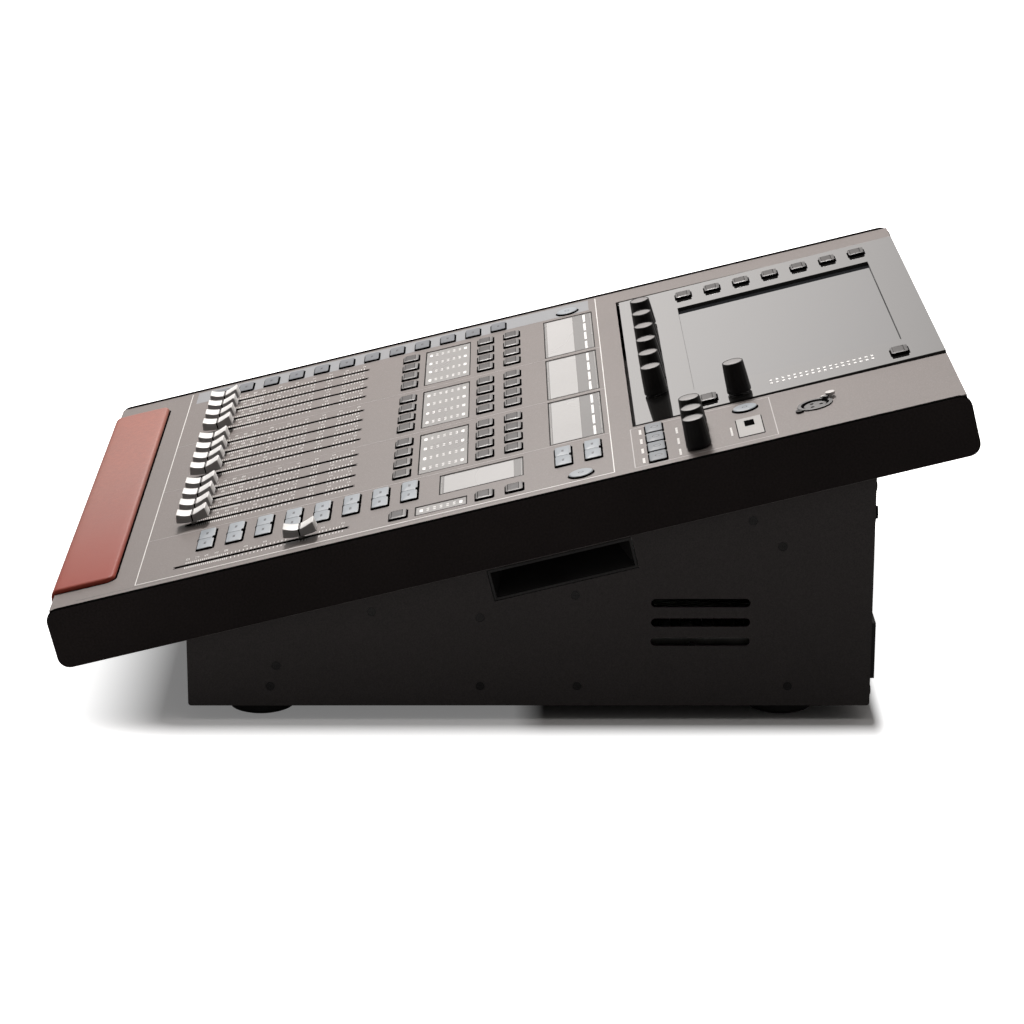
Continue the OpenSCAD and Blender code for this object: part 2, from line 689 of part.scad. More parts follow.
// ---- sockets of the control surface ---------------------------------------
module talkback_socket() color([0.06, 0.06, 0.06]) on_surface()
  translate([talkback_at.x, talkback_at.y, 0]) {
    difference() {
      union() {
        slab([26, 31], -3.6, -2.1);
        disc(11.6, -20, 0.8);
      }
      difference() {
        disc(9.3, -16, 4);
        disc(7.4, -17, 0);
      }
      contacts(1.3, -12, 8);
    }
    // latch tab and its button
    rotate([0, 0, 133]) {
      box([9.6, -1.6, 0.4], [15, 1.6, 2.2]);
      disc(3.1, 1.4, 3.4, [15.6, 0]);
    }
    // two fixing screws
    for (p = [[8.6, -10.8], [-10.4, 7.2]]) translate([p.x, p.y, 0.1])
      screw_head(r = 2.6, h = 1.3, recess_z = 0.9, recess = [3.2, 0.6]);
  }
module usb_socket() color([0.75, 0.75, 0.76]) on_surface()
  translate([usb_at.x, usb_at.y, 0]) difference() {
    slab(grow(USB, -0.2), -14, 0.4);
    // port with a tongue, left of centre
    difference() {
      box([-14, -3.2, -12], [-1, 3.2, 2]);
      box([-13, 0.4, -13], [-2, 2.2, -0.5]);
    }
  }

chassis_tub();
rear_panel();
upper_tray();
left_cheek();
right_cheek();
top_panel();
palm_rest();
handle_cups();
rubber_feet();
case_screws();
display_bezel();
display_glass();
display_tub();
hinge_pins();
screen_keys();
encoder_knob_1();
encoder_knob_2();
encoder_knob_3();
encoder_knob_4();
encoder_knob_5();
encoder_knob_6();
select_wheel();
custom_knob_1();
custom_knob_2();
custom_knob_3();
fader_cap_01();
fader_cap_02();
fader_cap_03();
fader_cap_04();
fader_cap_05();
fader_cap_06();
fader_cap_07();
fader_cap_08();
fader_cap_09();
fader_cap_10();
fader_cap_11();
fader_cap_12();
main_fader_cap();
fader_frames();
fader_motors();
select_keys();
solo_keys();
mute_keys();
layer_keys();
bank_keys();
command_keys();
round_keys();
channel_displays();
meter_lenses();
control_boards();
main_board();
power_supply();
fan_housing();
fan_rotor();
rear_connectors();
mains_inlet();
power_rocker();
talkback_socket();
usb_socket();
display_board();
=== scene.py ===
# Mixing console: a sloping control surface with thirteen faders, keys, small displays and
# meters, a glossy tilting display module at the rear, a side cheek at each end and a
# leather palm rest along the front. X runs across the console and Z is up.
import json
import math

import bpy
import numpy as np
from mathutils import Matrix, Vector


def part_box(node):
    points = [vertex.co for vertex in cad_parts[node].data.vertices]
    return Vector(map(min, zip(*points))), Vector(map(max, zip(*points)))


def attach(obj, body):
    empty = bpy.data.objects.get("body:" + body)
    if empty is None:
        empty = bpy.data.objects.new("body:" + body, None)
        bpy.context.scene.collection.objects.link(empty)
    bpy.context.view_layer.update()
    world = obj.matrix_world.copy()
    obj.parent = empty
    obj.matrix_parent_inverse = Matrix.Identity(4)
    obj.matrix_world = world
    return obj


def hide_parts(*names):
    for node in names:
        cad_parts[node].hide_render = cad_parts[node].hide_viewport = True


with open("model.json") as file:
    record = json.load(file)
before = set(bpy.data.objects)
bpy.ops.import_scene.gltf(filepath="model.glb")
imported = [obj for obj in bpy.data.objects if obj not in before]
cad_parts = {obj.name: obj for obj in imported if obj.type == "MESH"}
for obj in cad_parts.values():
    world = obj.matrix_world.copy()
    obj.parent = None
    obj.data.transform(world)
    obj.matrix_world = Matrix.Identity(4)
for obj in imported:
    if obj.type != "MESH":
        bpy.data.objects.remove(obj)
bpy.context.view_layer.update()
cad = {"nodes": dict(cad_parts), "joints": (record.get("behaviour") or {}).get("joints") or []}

# ---------------------------------------------------------------- frames ---
# Pieces are described in (u, v, n): u across the console towards +X, v along the slope
# from its front edge, n square to the surface. All in mm, unless a name says metres.
JOINT = {joint["name"]: joint for joint in cad["joints"]}
NODE = cad["nodes"]
HINGE_V_M, HINGE_N_M = 0.400, -0.0045    # where the display's hinge lies, in metres
ACROSS = Vector((1.0, 0.0, 0.0))
hinge = Vector(JOINT["display_tilt"]["pos_m"])


def frame_at_hinge(along, normal):
    """Frame with these v and n axes, placed so that the hinge has its known v and n."""
    origin = hinge - along * HINGE_V_M - normal * HINGE_N_M
    rows = [tuple(column[i] for column in (ACROSS, along, normal, origin)) for i in range(3)]
    return Matrix(rows + [(0, 0, 0, 1)])


surface_along = Vector(JOINT["fader_01_travel"]["axis"]).normalized()
SURFACE = frame_at_hinge(surface_along, ACROSS.cross(surface_along).normalized())
module_normal = Vector(JOINT["encoder_1_turn"]["axis"]).normalized()
MODULE = frame_at_hinge(module_normal.cross(ACROSS).normalized(), module_normal)


def shift(frame, u, v):
    return frame @ Matrix.Translation((u / 1000, v / 1000, 0.0))


def points_in(frame, node):
    """Vertices of a CAD node in a frame, in mm."""
    inverse = frame.inverted()
    return np.array([inverse @ vertex.co for vertex in NODE[node].data.vertices]) * 1000


def bounds_in(frame, node):
    """Lowest and highest corner of a CAD node in a frame."""
    points = points_in(frame, node)
    return points.min(0), points.max(0)


def centre_of(frame, node):
    low, high = bounds_in(frame, node)
    return (low + high) / 2


def islands(frame, node):
    """Boxes of a CAD node's separate solids, sorted by v and then u."""
    points = points_in(frame, node)
    number, parent = {}, {}

    def root(item):
        while parent[item] != item:
            parent[item] = parent[parent[item]]
            item = parent[item]
        return item

    ids = []
    for point in points:                  # vertices at one place count as one
        key = tuple(np.round(point, 2))
        if key not in number:
            number[key] = len(number)
            parent[number[key]] = number[key]
        ids.append(number[key])
    for face in NODE[node].data.polygons:
        first, *others = [ids[i] for i in face.vertices]
        for other in others:
            root_a, root_b = root(first), root(other)
            if root_a != root_b:
                parent[root_a] = root_b
    groups = {}
    for item, point in zip(ids, points):
        groups.setdefault(root(item), []).append(point)
    boxes = [(np.min(group, 0), np.max(group, 0)) for group in groups.values()]
    return sorted(boxes, key=lambda box: (round(float(box[0][1]), 1), round(float(box[0][0]), 1)))


def key_centres(frame, node):
    return [tuple((low + high)[:2] / 2) for low, high in islands(frame, node)]


# ---------------------------------------------------------- shader helpers ---
def add_node(tree, kind, inputs=None, **settings):
    """Adds a node; each input is given a value, or a socket to link from."""
    node = tree.nodes.new("ShaderNode" + kind)
    for key, value in settings.items():
        setattr(node, key, value)
    for key, value in (inputs or {}).items():
        if isinstance(value, bpy.types.NodeSocket):
            tree.links.new(value, node.inputs[key])
        else:
            node.inputs[key].default_value = value
    return node


def map_range(tree, value, source, target, **settings):
    inputs = {"Value": value, "From Min": source[0], "From Max": source[1],
              "To Min": target[0], "To Max": target[1]}
    return add_node(tree, "MapRange", inputs, **settings).outputs["Result"]


def scalar_math(tree, operation, *operands):
    return add_node(tree, "Math", dict(enumerate(operands)), operation=operation).outputs[0]


def vector_math(tree, operation, *operands):
    node = add_node(tree, "VectorMath", dict(enumerate(operands)), operation=operation)
    return node.outputs["Value" if operation in ("LENGTH", "DOT_PRODUCT") else "Vector"]


def noise(tree, vector, scale, detail=2, output="Fac"):
    inputs = {"Vector": vector, "Scale": scale, "Detail": detail}
    return add_node(tree, "TexNoise", inputs).outputs[output]


def relief(tree, shader, height, strength, distance):
    """Bumps the shader's normal; the distance is in metres."""
    inputs = {"Strength": strength, "Distance": distance, "Height": height}
    bump = add_node(tree, "Bump", inputs)
    tree.links.new(bump.outputs["Normal"], shader.inputs["Normal"])


def rgb(*levels):
    """Linear colour from three levels, or a grey from one."""
    return (levels * 3 if len(levels) == 1 else levels) + (1.0,)


# ------------------------------------------------------------- materials ---
NOISE_SPAN = (0.3, 0.7)                   # the part of a noise's range that is used


def material(name, base, rough=0.5, metallic=0.0, ior=1.5, spec=0.5,
             coat=0.0, coat_rough=0.1, coat_ior=1.5,
             scale=400.0, tone=0.12, cloud=0.0, rough_var=0.08, fleck=0.0,
             bump=0.15, bump_scale=None, bump_dist=0.0002, scratches=0.0):
    """Principled material varied by noise in object space (metres).

    scale: frequency of the grain; tone, cloud: fine and slow changes of brightness;
    fleck: bright flakes; bump_dist: height of the relief; scratches: directional brushing.
    """
    new = bpy.data.materials.new(name)
    new.use_nodes = True
    tree = new.node_tree
    tree.nodes.clear()
    shader = add_node(tree, "BsdfPrincipled", {
        "Metallic": metallic, "IOR": ior, "Specular IOR Level": spec,
        "Coat Weight": coat, "Coat Roughness": coat_rough, "Coat IOR": coat_ior})
    add_node(tree, "OutputMaterial", {"Surface": shader.outputs["BSDF"]})
    coords = add_node(tree, "TexCoord").outputs["Object"]
    place = add_node(tree, "Mapping", {"Vector": coords}).outputs["Vector"]
    # colour: fine grain over slow clouds
    fine = noise(tree, place, scale, detail=3)
    slow = noise(tree, place, max(scale / 40, 6))
    cloud = cloud or tone * 0.5
    brightness = scalar_math(tree, "MULTIPLY",
                             map_range(tree, fine, NOISE_SPAN, (1 - tone, 1 + tone)),
                             map_range(tree, slow, NOISE_SPAN, (1 - cloud, 1 + cloud)))
    flat = add_node(tree, "RGB").outputs[0]
    flat.default_value = base
    colour = add_node(tree, "VectorMath", {0: flat, "Scale": brightness},
                      operation="SCALE").outputs["Vector"]
    if fleck:
        cells = add_node(tree, "TexVoronoi", {"Vector": place, "Scale": scale * 2.2})
        parts = add_node(tree, "SeparateColor", {"Color": cells.outputs["Color"]})
        flakes = map_range(tree, parts.outputs["Red"], (0.75, 1.0), (0.0, fleck))
        colour = vector_math(tree, "ADD", colour, flakes)
    tree.links.new(colour, shader.inputs["Base Color"])
    rough_range = (max(rough - rough_var, 0.02), min(rough + rough_var, 1.0))
    tree.links.new(map_range(tree, slow, NOISE_SPAN, rough_range), shader.inputs["Roughness"])
    if bump:
        height = noise(tree, place, bump_scale or scale * 1.5, detail=4)
        if scratches:
            drawn = add_node(tree, "Mapping", {"Vector": coords, "Scale": (1, 0.04, 1)})
            brushed = noise(tree, drawn.outputs["Vector"], scale=900)
            height = scalar_math(tree, "MULTIPLY_ADD", brushed, scratches, height)
        relief(tree, shader, height, bump, bump_dist)
    return new


def mix_over(tree, shader, factor, colour):
    """Mixes a colour over whatever feeds the shader's base colour."""
    under = shader.inputs["Base Color"].links[0].from_socket
    mixed = add_node(tree, "Mix", {"Factor": factor, "A": under, "B": colour}, data_type="RGBA")
    tree.links.new(mixed.outputs["Result"], shader.inputs["Base Color"])


def leather():
    """Fine-grained leatherette whose red deepens and whose shine fades towards +X: a painted sheen,
    lighter at the -X end.
    """
    new = material("palm_leather", rgb(0.268, 0.072, 0.044), rough=0.46, scale=260, tone=0.1,
                   cloud=0.12, rough_var=0.07, bump=0.0)
    tree = new.node_tree
    shader = next(node for node in tree.nodes if node.type == "BSDF_PRINCIPLED")
    coords = next(node for node in tree.nodes if node.type == "TEX_COORD").outputs["Object"]
    # small pebbles with wavering outlines
    wobble = noise(tree, coords, scale=500, output="Color")
    wobble_size = (0.0012, 0.0012, 0.0012)
    wavering = vector_math(tree, "MULTIPLY_ADD", wobble, wobble_size, coords)
    edge = add_node(tree, "TexVoronoi", {"Vector": wavering, "Scale": 900},
                    feature="DISTANCE_TO_EDGE").outputs["Distance"]
    pebble = map_range(tree, edge, (0.0, 0.25), (0.0, 1.0))
    relief(tree, shader, pebble, strength=0.16, distance=0.00022)
    # painted shade: creases a touch darker
    mix_over(tree, shader, map_range(tree, edge, (0.0, 0.08), (0.35, 0.0)),
             rgb(0.10, 0.014, 0.007))
    # painted sheen: lighter and shinier at the -X end, deeper red and duller towards +X
    parts = add_node(tree, "SeparateXYZ", {0: coords})
    painted_sheen_fade = map_range(tree, parts.outputs["X"], (-0.06, 0.25), (0.0, 1.0),
                     interpolation_type="SMOOTHSTEP")
    mix_over(tree, shader, painted_sheen_fade, rgb(0.285, 0.046, 0.028))
    shine = map_range(tree, painted_sheen_fade, (0.0, 1.0), (0.5, 0.12))
    tree.links.new(shine, shader.inputs["Specular IOR Level"])
    return new


# body
PANEL = material("panel_paint", rgb(0.168, 0.146, 0.137), rough=0.46, ior=1.45, spec=0.28,
                 scale=900, tone=0.05, cloud=0.03, rough_var=0.03, bump=0.10,
                 bump_dist=0.00006, fleck=0.04)
BASE = material("powder_coat", rgb(0.062, 0.0555, 0.055), rough=0.58, scale=1100, tone=0.22,
                cloud=0.06, spec=0.3, rough_var=0.05, bump=0.28, bump_scale=1500,
                bump_dist=0.00012)
CHEEK = material("cheek_lacquer", rgb(0.033, 0.0275, 0.027), rough=0.55, scale=700, tone=0.16,
                 cloud=0.10, spec=0.02, rough_var=0.06, bump=0.16, bump_scale=1300,
                 bump_dist=0.00008)
# painted shade for the cheek tops and painted highlight for their lower outer edges
CHEEK_TOP_SHADE = material("cheek_top_painted_shade", rgb(0.003), rough=0.9, scale=700, tone=0.2, bump=0.2, spec=0.0)
CHEEK_EDGE_HIGHLIGHT = material("cheek_edge_painted_highlight", rgb(0.15, 0.14, 0.135), rough=0.5, scale=700, tone=0.16,
                     cloud=0.10, spec=0.2, bump=0.1)
PALM = leather()
RUBBER = material("rubber", rgb(0.012), rough=0.75, scale=900, tone=0.25, bump=0.35)
# display module
GLOSS = material("module_gloss", rgb(0.014, 0.0135, 0.013), rough=0.03, ior=2.6, coat=1.0,
                 coat_rough=0.02, coat_ior=1.85, scale=60, tone=0.03, rough_var=0.01, bump=0.0)
GLASS = material("screen_glass", rgb(0.022, 0.024, 0.027), rough=0.04, ior=2.5, coat=1.0,
                 coat_rough=0.02, coat_ior=1.75, scale=60, tone=0.02, rough_var=0.01, bump=0.0)
BLACKWALL = material("module_edge", rgb(0.006), rough=0.5, scale=500, tone=0.2, bump=0.1)
# knobs and fader caps
KNOB = material("knob_black", rgb(0.004, 0.0032, 0.0032), rough=0.42, scale=1500, tone=0.2,
                rough_var=0.05, bump=0.2, spec=0.22, bump_scale=2600, bump_dist=0.00006)
KNOBTOP = material("knob_cap", rgb(0.16, 0.15, 0.148), rough=0.34, ior=1.6, scale=1400,
                   tone=0.06, bump=0.12, bump_dist=0.00005)
CAPWHITE = material("cap_white", rgb(0.80, 0.795, 0.78), rough=0.38, scale=1600, tone=0.02,
                    rough_var=0.04, bump=0.08, bump_dist=0.00004)
CAPDARK = material("cap_grey", rgb(0.33, 0.322, 0.322), rough=0.45, spec=0.3, scale=1600,
                   tone=0.05, bump=0.15, bump_dist=0.00005)
# keys
# painted shade: flat black for the gaps round keys, key walls, cap undersides and notches
SHADE_BLACK = material("painted_shade_black", rgb(0.003), rough=0.9, scale=300, tone=0.2, bump=0.0, spec=0.0)
KEYRIM = material("key_grey", rgb(0.130, 0.124, 0.122), rough=0.42, scale=1200, tone=0.05,
                  bump=0.06, spec=0.35, bump_dist=0.00004)
KEYWIN = material("key_window", rgb(0.048, 0.044, 0.043), rough=0.4, ior=1.45, scale=1200,
                  tone=0.06, spec=0.25, bump=0.04, bump_dist=0.00004)
KEYBLUE = material("key_blue", rgb(0.285, 0.315, 0.345), rough=0.42, ior=1.45, spec=0.3,
                   scale=1500, tone=0.03, bump=0.10, bump_dist=0.00005)
KEYMID = material("key_blue_rear", rgb(0.215, 0.232, 0.25), rough=0.46, ior=1.45, spec=0.2,
                  scale=1500, tone=0.03, bump=0.10)
OUTLINE = material("window_outline", rgb(0.022, 0.021, 0.020), rough=0.8, scale=900, tone=0.2,
                   bump=0.0, spec=0.02)
KEYFAR = material("key_blue_far", rgb(0.185, 0.195, 0.21), rough=0.5, ior=1.4, spec=0.1,
                  scale=1500, tone=0.03, bump=0.10)
RIMDIM = material("key_dark_edge", rgb(0.085, 0.082, 0.081), rough=0.4, scale=1200, tone=0.04,
                  bump=0.05, spec=0.3)
RIMLIGHT = material("key_grey_edge", rgb(0.125, 0.121, 0.120), rough=0.4, scale=1200,
                    tone=0.04, bump=0.05, spec=0.3)
# painted highlight: a slightly lighter copy of the key blue for the keys' chamfers
BLUELIGHT = material("key_blue_edge_highlight", rgb(0.30, 0.32, 0.335), rough=0.4, scale=1200, tone=0.03,
                     bump=0.05, spec=0.3)
# slots and printing
# painted shadow: colour of the dark line near the +u edge
PAINTED_SHADOW_LINE = material("painted_shadow_line", rgb(0.085, 0.078, 0.075), scale=900, tone=0.05, bump=0.0)
LIP_AND_SHADE = material("slot_lip_and_painted_shade", rgb(0.0015), rough=0.9, scale=1500, tone=0.3, bump=0.2, spec=0.0)
MARK = material("key_mark", rgb(0.03, 0.036, 0.045), scale=900, tone=0.1, bump=0.0)
PRINT = material("print_white", rgb(0.74, 0.73, 0.71), scale=900, tone=0.03, bump=0.0)
FAINT = material("print_faint", rgb(0.38, 0.36, 0.35), rough=0.45, scale=900, tone=0.03,
                 bump=0.0)
BAND = material("band_grey", rgb(0.255, 0.262, 0.275), rough=0.46, ior=1.45, spec=0.25,
                scale=900, tone=0.04, bump=0.1, bump_dist=0.00005, fleck=0.03)
# displays and meters
LCDWHITE = material("lcd_white", rgb(0.435, 0.430, 0.426), rough=0.25, scale=300, tone=0.015,
                    bump=0.0)
LCDGREY = material("lcd_grey", rgb(0.17, 0.166, 0.162), rough=0.22, scale=300, tone=0.02,
                   bump=0.0)
METER = material("meter_lens", rgb(0.238, 0.231, 0.224), rough=0.30, scale=900, tone=0.03,
                 bump=0.05, bump_dist=0.00004)
LEDDIM = material("led_dim", rgb(0.62, 0.61, 0.60), rough=0.4, scale=900, tone=0.02, bump=0.0)
LED = material("led_dot", rgb(0.86, 0.855, 0.84), rough=0.4, scale=900, tone=0.02, bump=0.0)
# metal, sockets and inner parts
STEEL = material("plated_steel", rgb(0.62, 0.61, 0.60), rough=0.28, metallic=1.0, scale=900,
                 tone=0.05, bump=0.12, scratches=0.6)
TABLIGHT = material("push_tab", rgb(0.62, 0.60, 0.58), rough=0.4, scale=1200, tone=0.05,
                    bump=0.05)
SATIN = material("satin_plate", rgb(0.28, 0.272, 0.264), rough=0.42, metallic=0.1, spec=0.35,
                 scale=1200, tone=0.04, bump=0.08)
SOCKET = material("socket_black", rgb(0.010, 0.0095, 0.0095), rough=0.42, ior=1.45, scale=900,
                  tone=0.1, bump=0.1, spec=0.2)
MOULD = material("moulded_black", rgb(0.013, 0.012, 0.012), scale=1500, tone=0.2, bump=0.35,
                 bump_dist=0.0001)
PCB = material("pcb_green", rgb(0.012, 0.075, 0.035), rough=0.35, coat=0.4, scale=220,
               tone=0.25, bump=0.2, bump_dist=0.0001)
SCREW = material("screw_black", rgb(0.030, 0.029, 0.029), rough=0.32, metallic=0.7, scale=1500,
                 tone=0.12, bump=0.1)

# CAD nodes in each material; knobs, caps and all the rest are told by their names
LOOK_NODES = [
    (BASE, "chassis_tub rear_panel upper_tray"),
    (PANEL, "top_panel"),
    (MOULD, "handle_cups fan_housing fan_rotor mains_inlet power_rocker"),
    (GLOSS, "display_bezel"),
    (GLASS, "display_glass"),
    (BLACKWALL, "display_tub"),
    (PCB, "display_board control_boards main_board"),
    (STEEL, "hinge_pins fader_frames fader_motors power_supply"),
    (SOCKET, "rear_connectors talkback_socket"),
    (SATIN, "usb_socket"),
    (CHEEK, "left_cheek right_cheek"),
    (PALM, "palm_rest"),
    (RUBBER, "rubber_feet"),
    (SCREW, "case_screws"),
    (KEYRIM, "screen_keys select_keys solo_keys mute_keys"),
    (KEYBLUE, "layer_keys bank_keys command_keys round_keys"),
    (LCDGREY, "channel_displays"),
    (METER, "meter_lenses"),
    (KNOB, "select_wheel"),
]
CAD_LOOK = {name: look for look, names in LOOK_NODES for name in names.split()}


def default_look(name):
    if "knob" in name:
        return KNOB
    return CAPWHITE if "cap" in name else MOULD


def dress_cad():
    for name, node in NODE.items():
        node.data.materials.clear()
        node.data.materials.append(CAD_LOOK.get(name) or default_look(name))
        for face in node.data.polygons:
            face.material_index = 0


def darken_walls(node, top):
    """Faces of a module part that look along its normal in one material, the rest black."""
    mesh = NODE[node].data
    mesh.materials.clear()
    mesh.materials.append(top)
    mesh.materials.append(BLACKWALL)
    for face in mesh.polygons:
        face.material_index = 0 if face.normal.dot(module_normal) > 0.95 else 1


dress_cad()
darken_walls("display_bezel", GLOSS)
darken_walls("display_glass", GLASS)


# ---------------------------------------------------------------- meshes ---
def rounded_rectangle(centre, half, radius, steps=4):
    points = []
    for side_x, side_y, start in ((1, 1, 0), (-1, 1, 90), (-1, -1, 180), (1, -1, 270)):
        for i in range(steps + 1):
            angle = math.radians(start + 90 * i / steps)
            points.append((centre[0] + side_x * (half[0] - radius) + radius * math.cos(angle),
                           centre[1] + side_y * (half[1] - radius) + radius * math.sin(angle)))
    return points


def place_object(mesh, name, matrix, body):
    """Puts a mesh in the scene and lets it ride on a body."""
    obj = bpy.data.objects.new(name, mesh)
    bpy.context.scene.collection.objects.link(obj)
    obj.matrix_world = matrix
    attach(obj, body)
    return obj


def install(obj, node=None):
    """Hides the CAD node that an object replaces, if any."""
    if node:
        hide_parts(node)


class Shape:
    """Collects vertices (mm) and faces with a material each, then makes one object."""

    def __init__(self):
        self.verts, self.faces, self.looks = [], [], []

    def add(self, verts, faces, look):
        """Adds faces in one material, or in a list with one for each face."""
        offset = len(self.verts)
        self.verts += [tuple(point) for point in verts]
        self.faces += [[i + offset for i in face] for face in faces]
        self.looks += look if isinstance(look, list) else [look] * len(faces)

    def box(self, low, high, look):
        (x0, y0, z0), (x1, y1, z1) = low, high
        verts = [(x, y, z) for z in (z0, z1) for x, y in ((x0, y0), (x1, y0), (x1, y1), (x0, y1))]
        self.add(verts, [[3, 2, 1, 0], [4, 5, 6, 7], [0, 1, 5, 4],
                         [1, 2, 6, 5], [2, 3, 7, 6], [3, 0, 4, 7]], look)

    def loft(self, loops, looks, start=None, end=None):
        """Joins closed loops; looks is one material or one per gap, start and end cap it."""
        count = len(loops[0])
        faces, face_looks = [], []
        for i in range(len(loops) - 1):
            for j in range(count):
                a, b = i * count + j, i * count + (j + 1) % count
                faces.append([a, b, b + count, a + count])
                face_looks.append(looks[i] if isinstance(looks, list) else looks)
        if start is not None:
            faces.append(list(range(count))[::-1])
            face_looks.append(start)
        if end is not None:
            faces.append([(len(loops) - 1) * count + j for j in range(count)])
            face_looks.append(end)
        self.add([point for loop in loops for point in loop], faces, face_looks)

    def lathe(self, centre, profile, looks, segments, start=None, end=None, wobble=None):
        """Turns (radius, height) points about an upright axis; wobble alters the radius."""
        loops = []
        for radius, z in profile:
            loop = []
            for j in range(segments):
                angle = 2 * math.pi * j / segments
                here = radius + (wobble(angle, z) if wobble else 0)
                loop.append((centre[0] + here * math.cos(angle),
                             centre[1] + here * math.sin(angle), z))
            loops.append(loop)
        self.loft(loops, looks, start, end)

    def pad(self, centre, half, radius, levels, looks, start=None, end=None):
        """Rounded rectangle lofted through levels.

        A level is (height, inset), or (height, side inset, front inset, rear inset).
        """
        loops = []
        for z, side, *ends in levels:
            front, rear = ends or (side, side)
            outline = rounded_rectangle((centre[0], centre[1] + (front - rear) / 2),
                                        (half[0] - side, half[1] - (front + rear) / 2),
                                        max(radius - side, 0.15))
            loops.append([(x, y, z) for x, y in outline])
        self.loft(loops, looks, start, end)

    def make(self, name, matrix, body, smooth=40):
        """Makes the object in metres; edges steeper than smooth (degrees) stay sharp."""
        mesh = bpy.data.meshes.new(name)
        verts = [(x / 1000, y / 1000, z / 1000) for x, y, z in self.verts]
        mesh.from_pydata(verts, [], self.faces)
        used = list(dict.fromkeys(self.looks))
        for look in used:
            mesh.materials.append(look)
        for face, look in zip(mesh.polygons, self.looks):
            face.material_index = used.index(look)
        mesh.update()
        mesh.validate()
        for face in mesh.polygons:
            face.use_smooth = True
        mesh.set_sharp_from_angle(angle=math.radians(smooth))
        return place_object(mesh, name, matrix, body)


# ------------------------------------------------------------- side cheeks ---
CHEEK_RISE = 0.6                          # how far a cheek's top stands above the CAD one
CHEEK_CORNER, CHEEK_CORNER_STEPS = 8.0, 10
CHEEK_OUTER_ROUND, CHEEK_INNER_ROUND, CHEEK_ROUND_STEPS = 0.6, 0.3, 4


def side_cheek(node):
    low, high = bounds_in(SURFACE, node)
    high[2] += CHEEK_RISE
    centre, half = (low + high) / 2, (high - low) / 2
    outward = 1 if centre[0] > 0 else -1

    def loop(u, inset):
        outline = rounded_rectangle(centre[1:], half[1:] - inset, CHEEK_CORNER - inset,
                                    CHEEK_CORNER_STEPS)
        return [(u, v, n) for v, n in outline]

    angles = [math.pi / 2 * i / CHEEK_ROUND_STEPS for i in range(CHEEK_ROUND_STEPS + 1)]
    loops = []
    radius = CHEEK_INNER_ROUND
    for angle in angles:
        reach = half[0] - radius + radius * math.cos(angle)
        loops.append(loop(centre[0] - outward * reach, radius * (1 - math.sin(angle))))
    radius = CHEEK_OUTER_ROUND
    for angle in angles:
        reach = half[0] - radius + radius * math.sin(angle)
        loops.append(loop(centre[0] + outward * reach, radius * (1 - math.cos(angle))))
    if outward < 0:
        loops.reverse()
    shape = Shape()
    shape.loft(loops, CHEEK, CHEEK, CHEEK)
    obj = shape.make(node.replace("_cheek", "_side_cheek"), SURFACE, "chassis", smooth=50)
    # painted highlight on the lower outer edge, painted shade making the top dead black
    obj.data.materials.append(CHEEK_EDGE_HIGHLIGHT)
    obj.data.materials.append(CHEEK_TOP_SHADE)
    down_and_out = Vector((outward * 0.66, 0.0, -0.75)).normalized()
    for face in obj.data.polygons:
        if len(face.vertices) == 4 and face.normal.dot(down_and_out) > 0.93:
            face.material_index = 1
        elif face.normal.z > 0.35:
            face.material_index = 2
    obj.data.transform(obj.matrix_world.copy())     # upright axes, so its box is the true one
    obj.matrix_world = Matrix.Identity(4)
    install(obj, node)


side_cheek("left_cheek")
side_cheek("right_cheek")

# --------------------------------------------------------------- palm rest ---
PALM_CORNER, PALM_CORNER_STEPS = 7.0, 8   # plan radius of the rear corners
PALM_FRONT_ROUND, PALM_REAR_ROUND, PALM_END_ROUND = 5.2, 2.3, 2.8
PALM_ROUND_STEPS = 6
PALM_CROWN, PALM_CROWN_STEPS = 0.10, 10


def palm_section(low, high, rear_inset, drop):
    """Section (v, n): up over the front edge, along the crowned top, down at the rear."""
    front = low[1] + 0.02
    rear = high[1] - rear_inset
    top = high[2] - drop
    radius = PALM_FRONT_ROUND
    angles = [math.pi / 2 * i / PALM_ROUND_STEPS for i in range(PALM_ROUND_STEPS + 1)]
    points = [(front + 2.6, low[2]), (front + 0.6, low[2] + 0.15), (front + 0.1, low[2] + 0.8)]
    points += [(front + radius - radius * math.cos(angle),
                top - radius + radius * math.sin(angle)) for angle in angles]
    crown_length = rear - PALM_REAR_ROUND - front - radius
    for i in range(1, PALM_CROWN_STEPS):
        share = i / PALM_CROWN_STEPS
        points.append((front + radius + crown_length * share,
                       top + PALM_CROWN * math.sin(math.pi * share)))
    radius = PALM_REAR_ROUND
    points += [(rear - radius + radius * math.sin(angle),
                top - radius + radius * math.cos(angle)) for angle in angles]
    return points + [(rear - 0.25, 0.2), (rear - 1.4, 0.2), (front + 2.8, 0.2)]


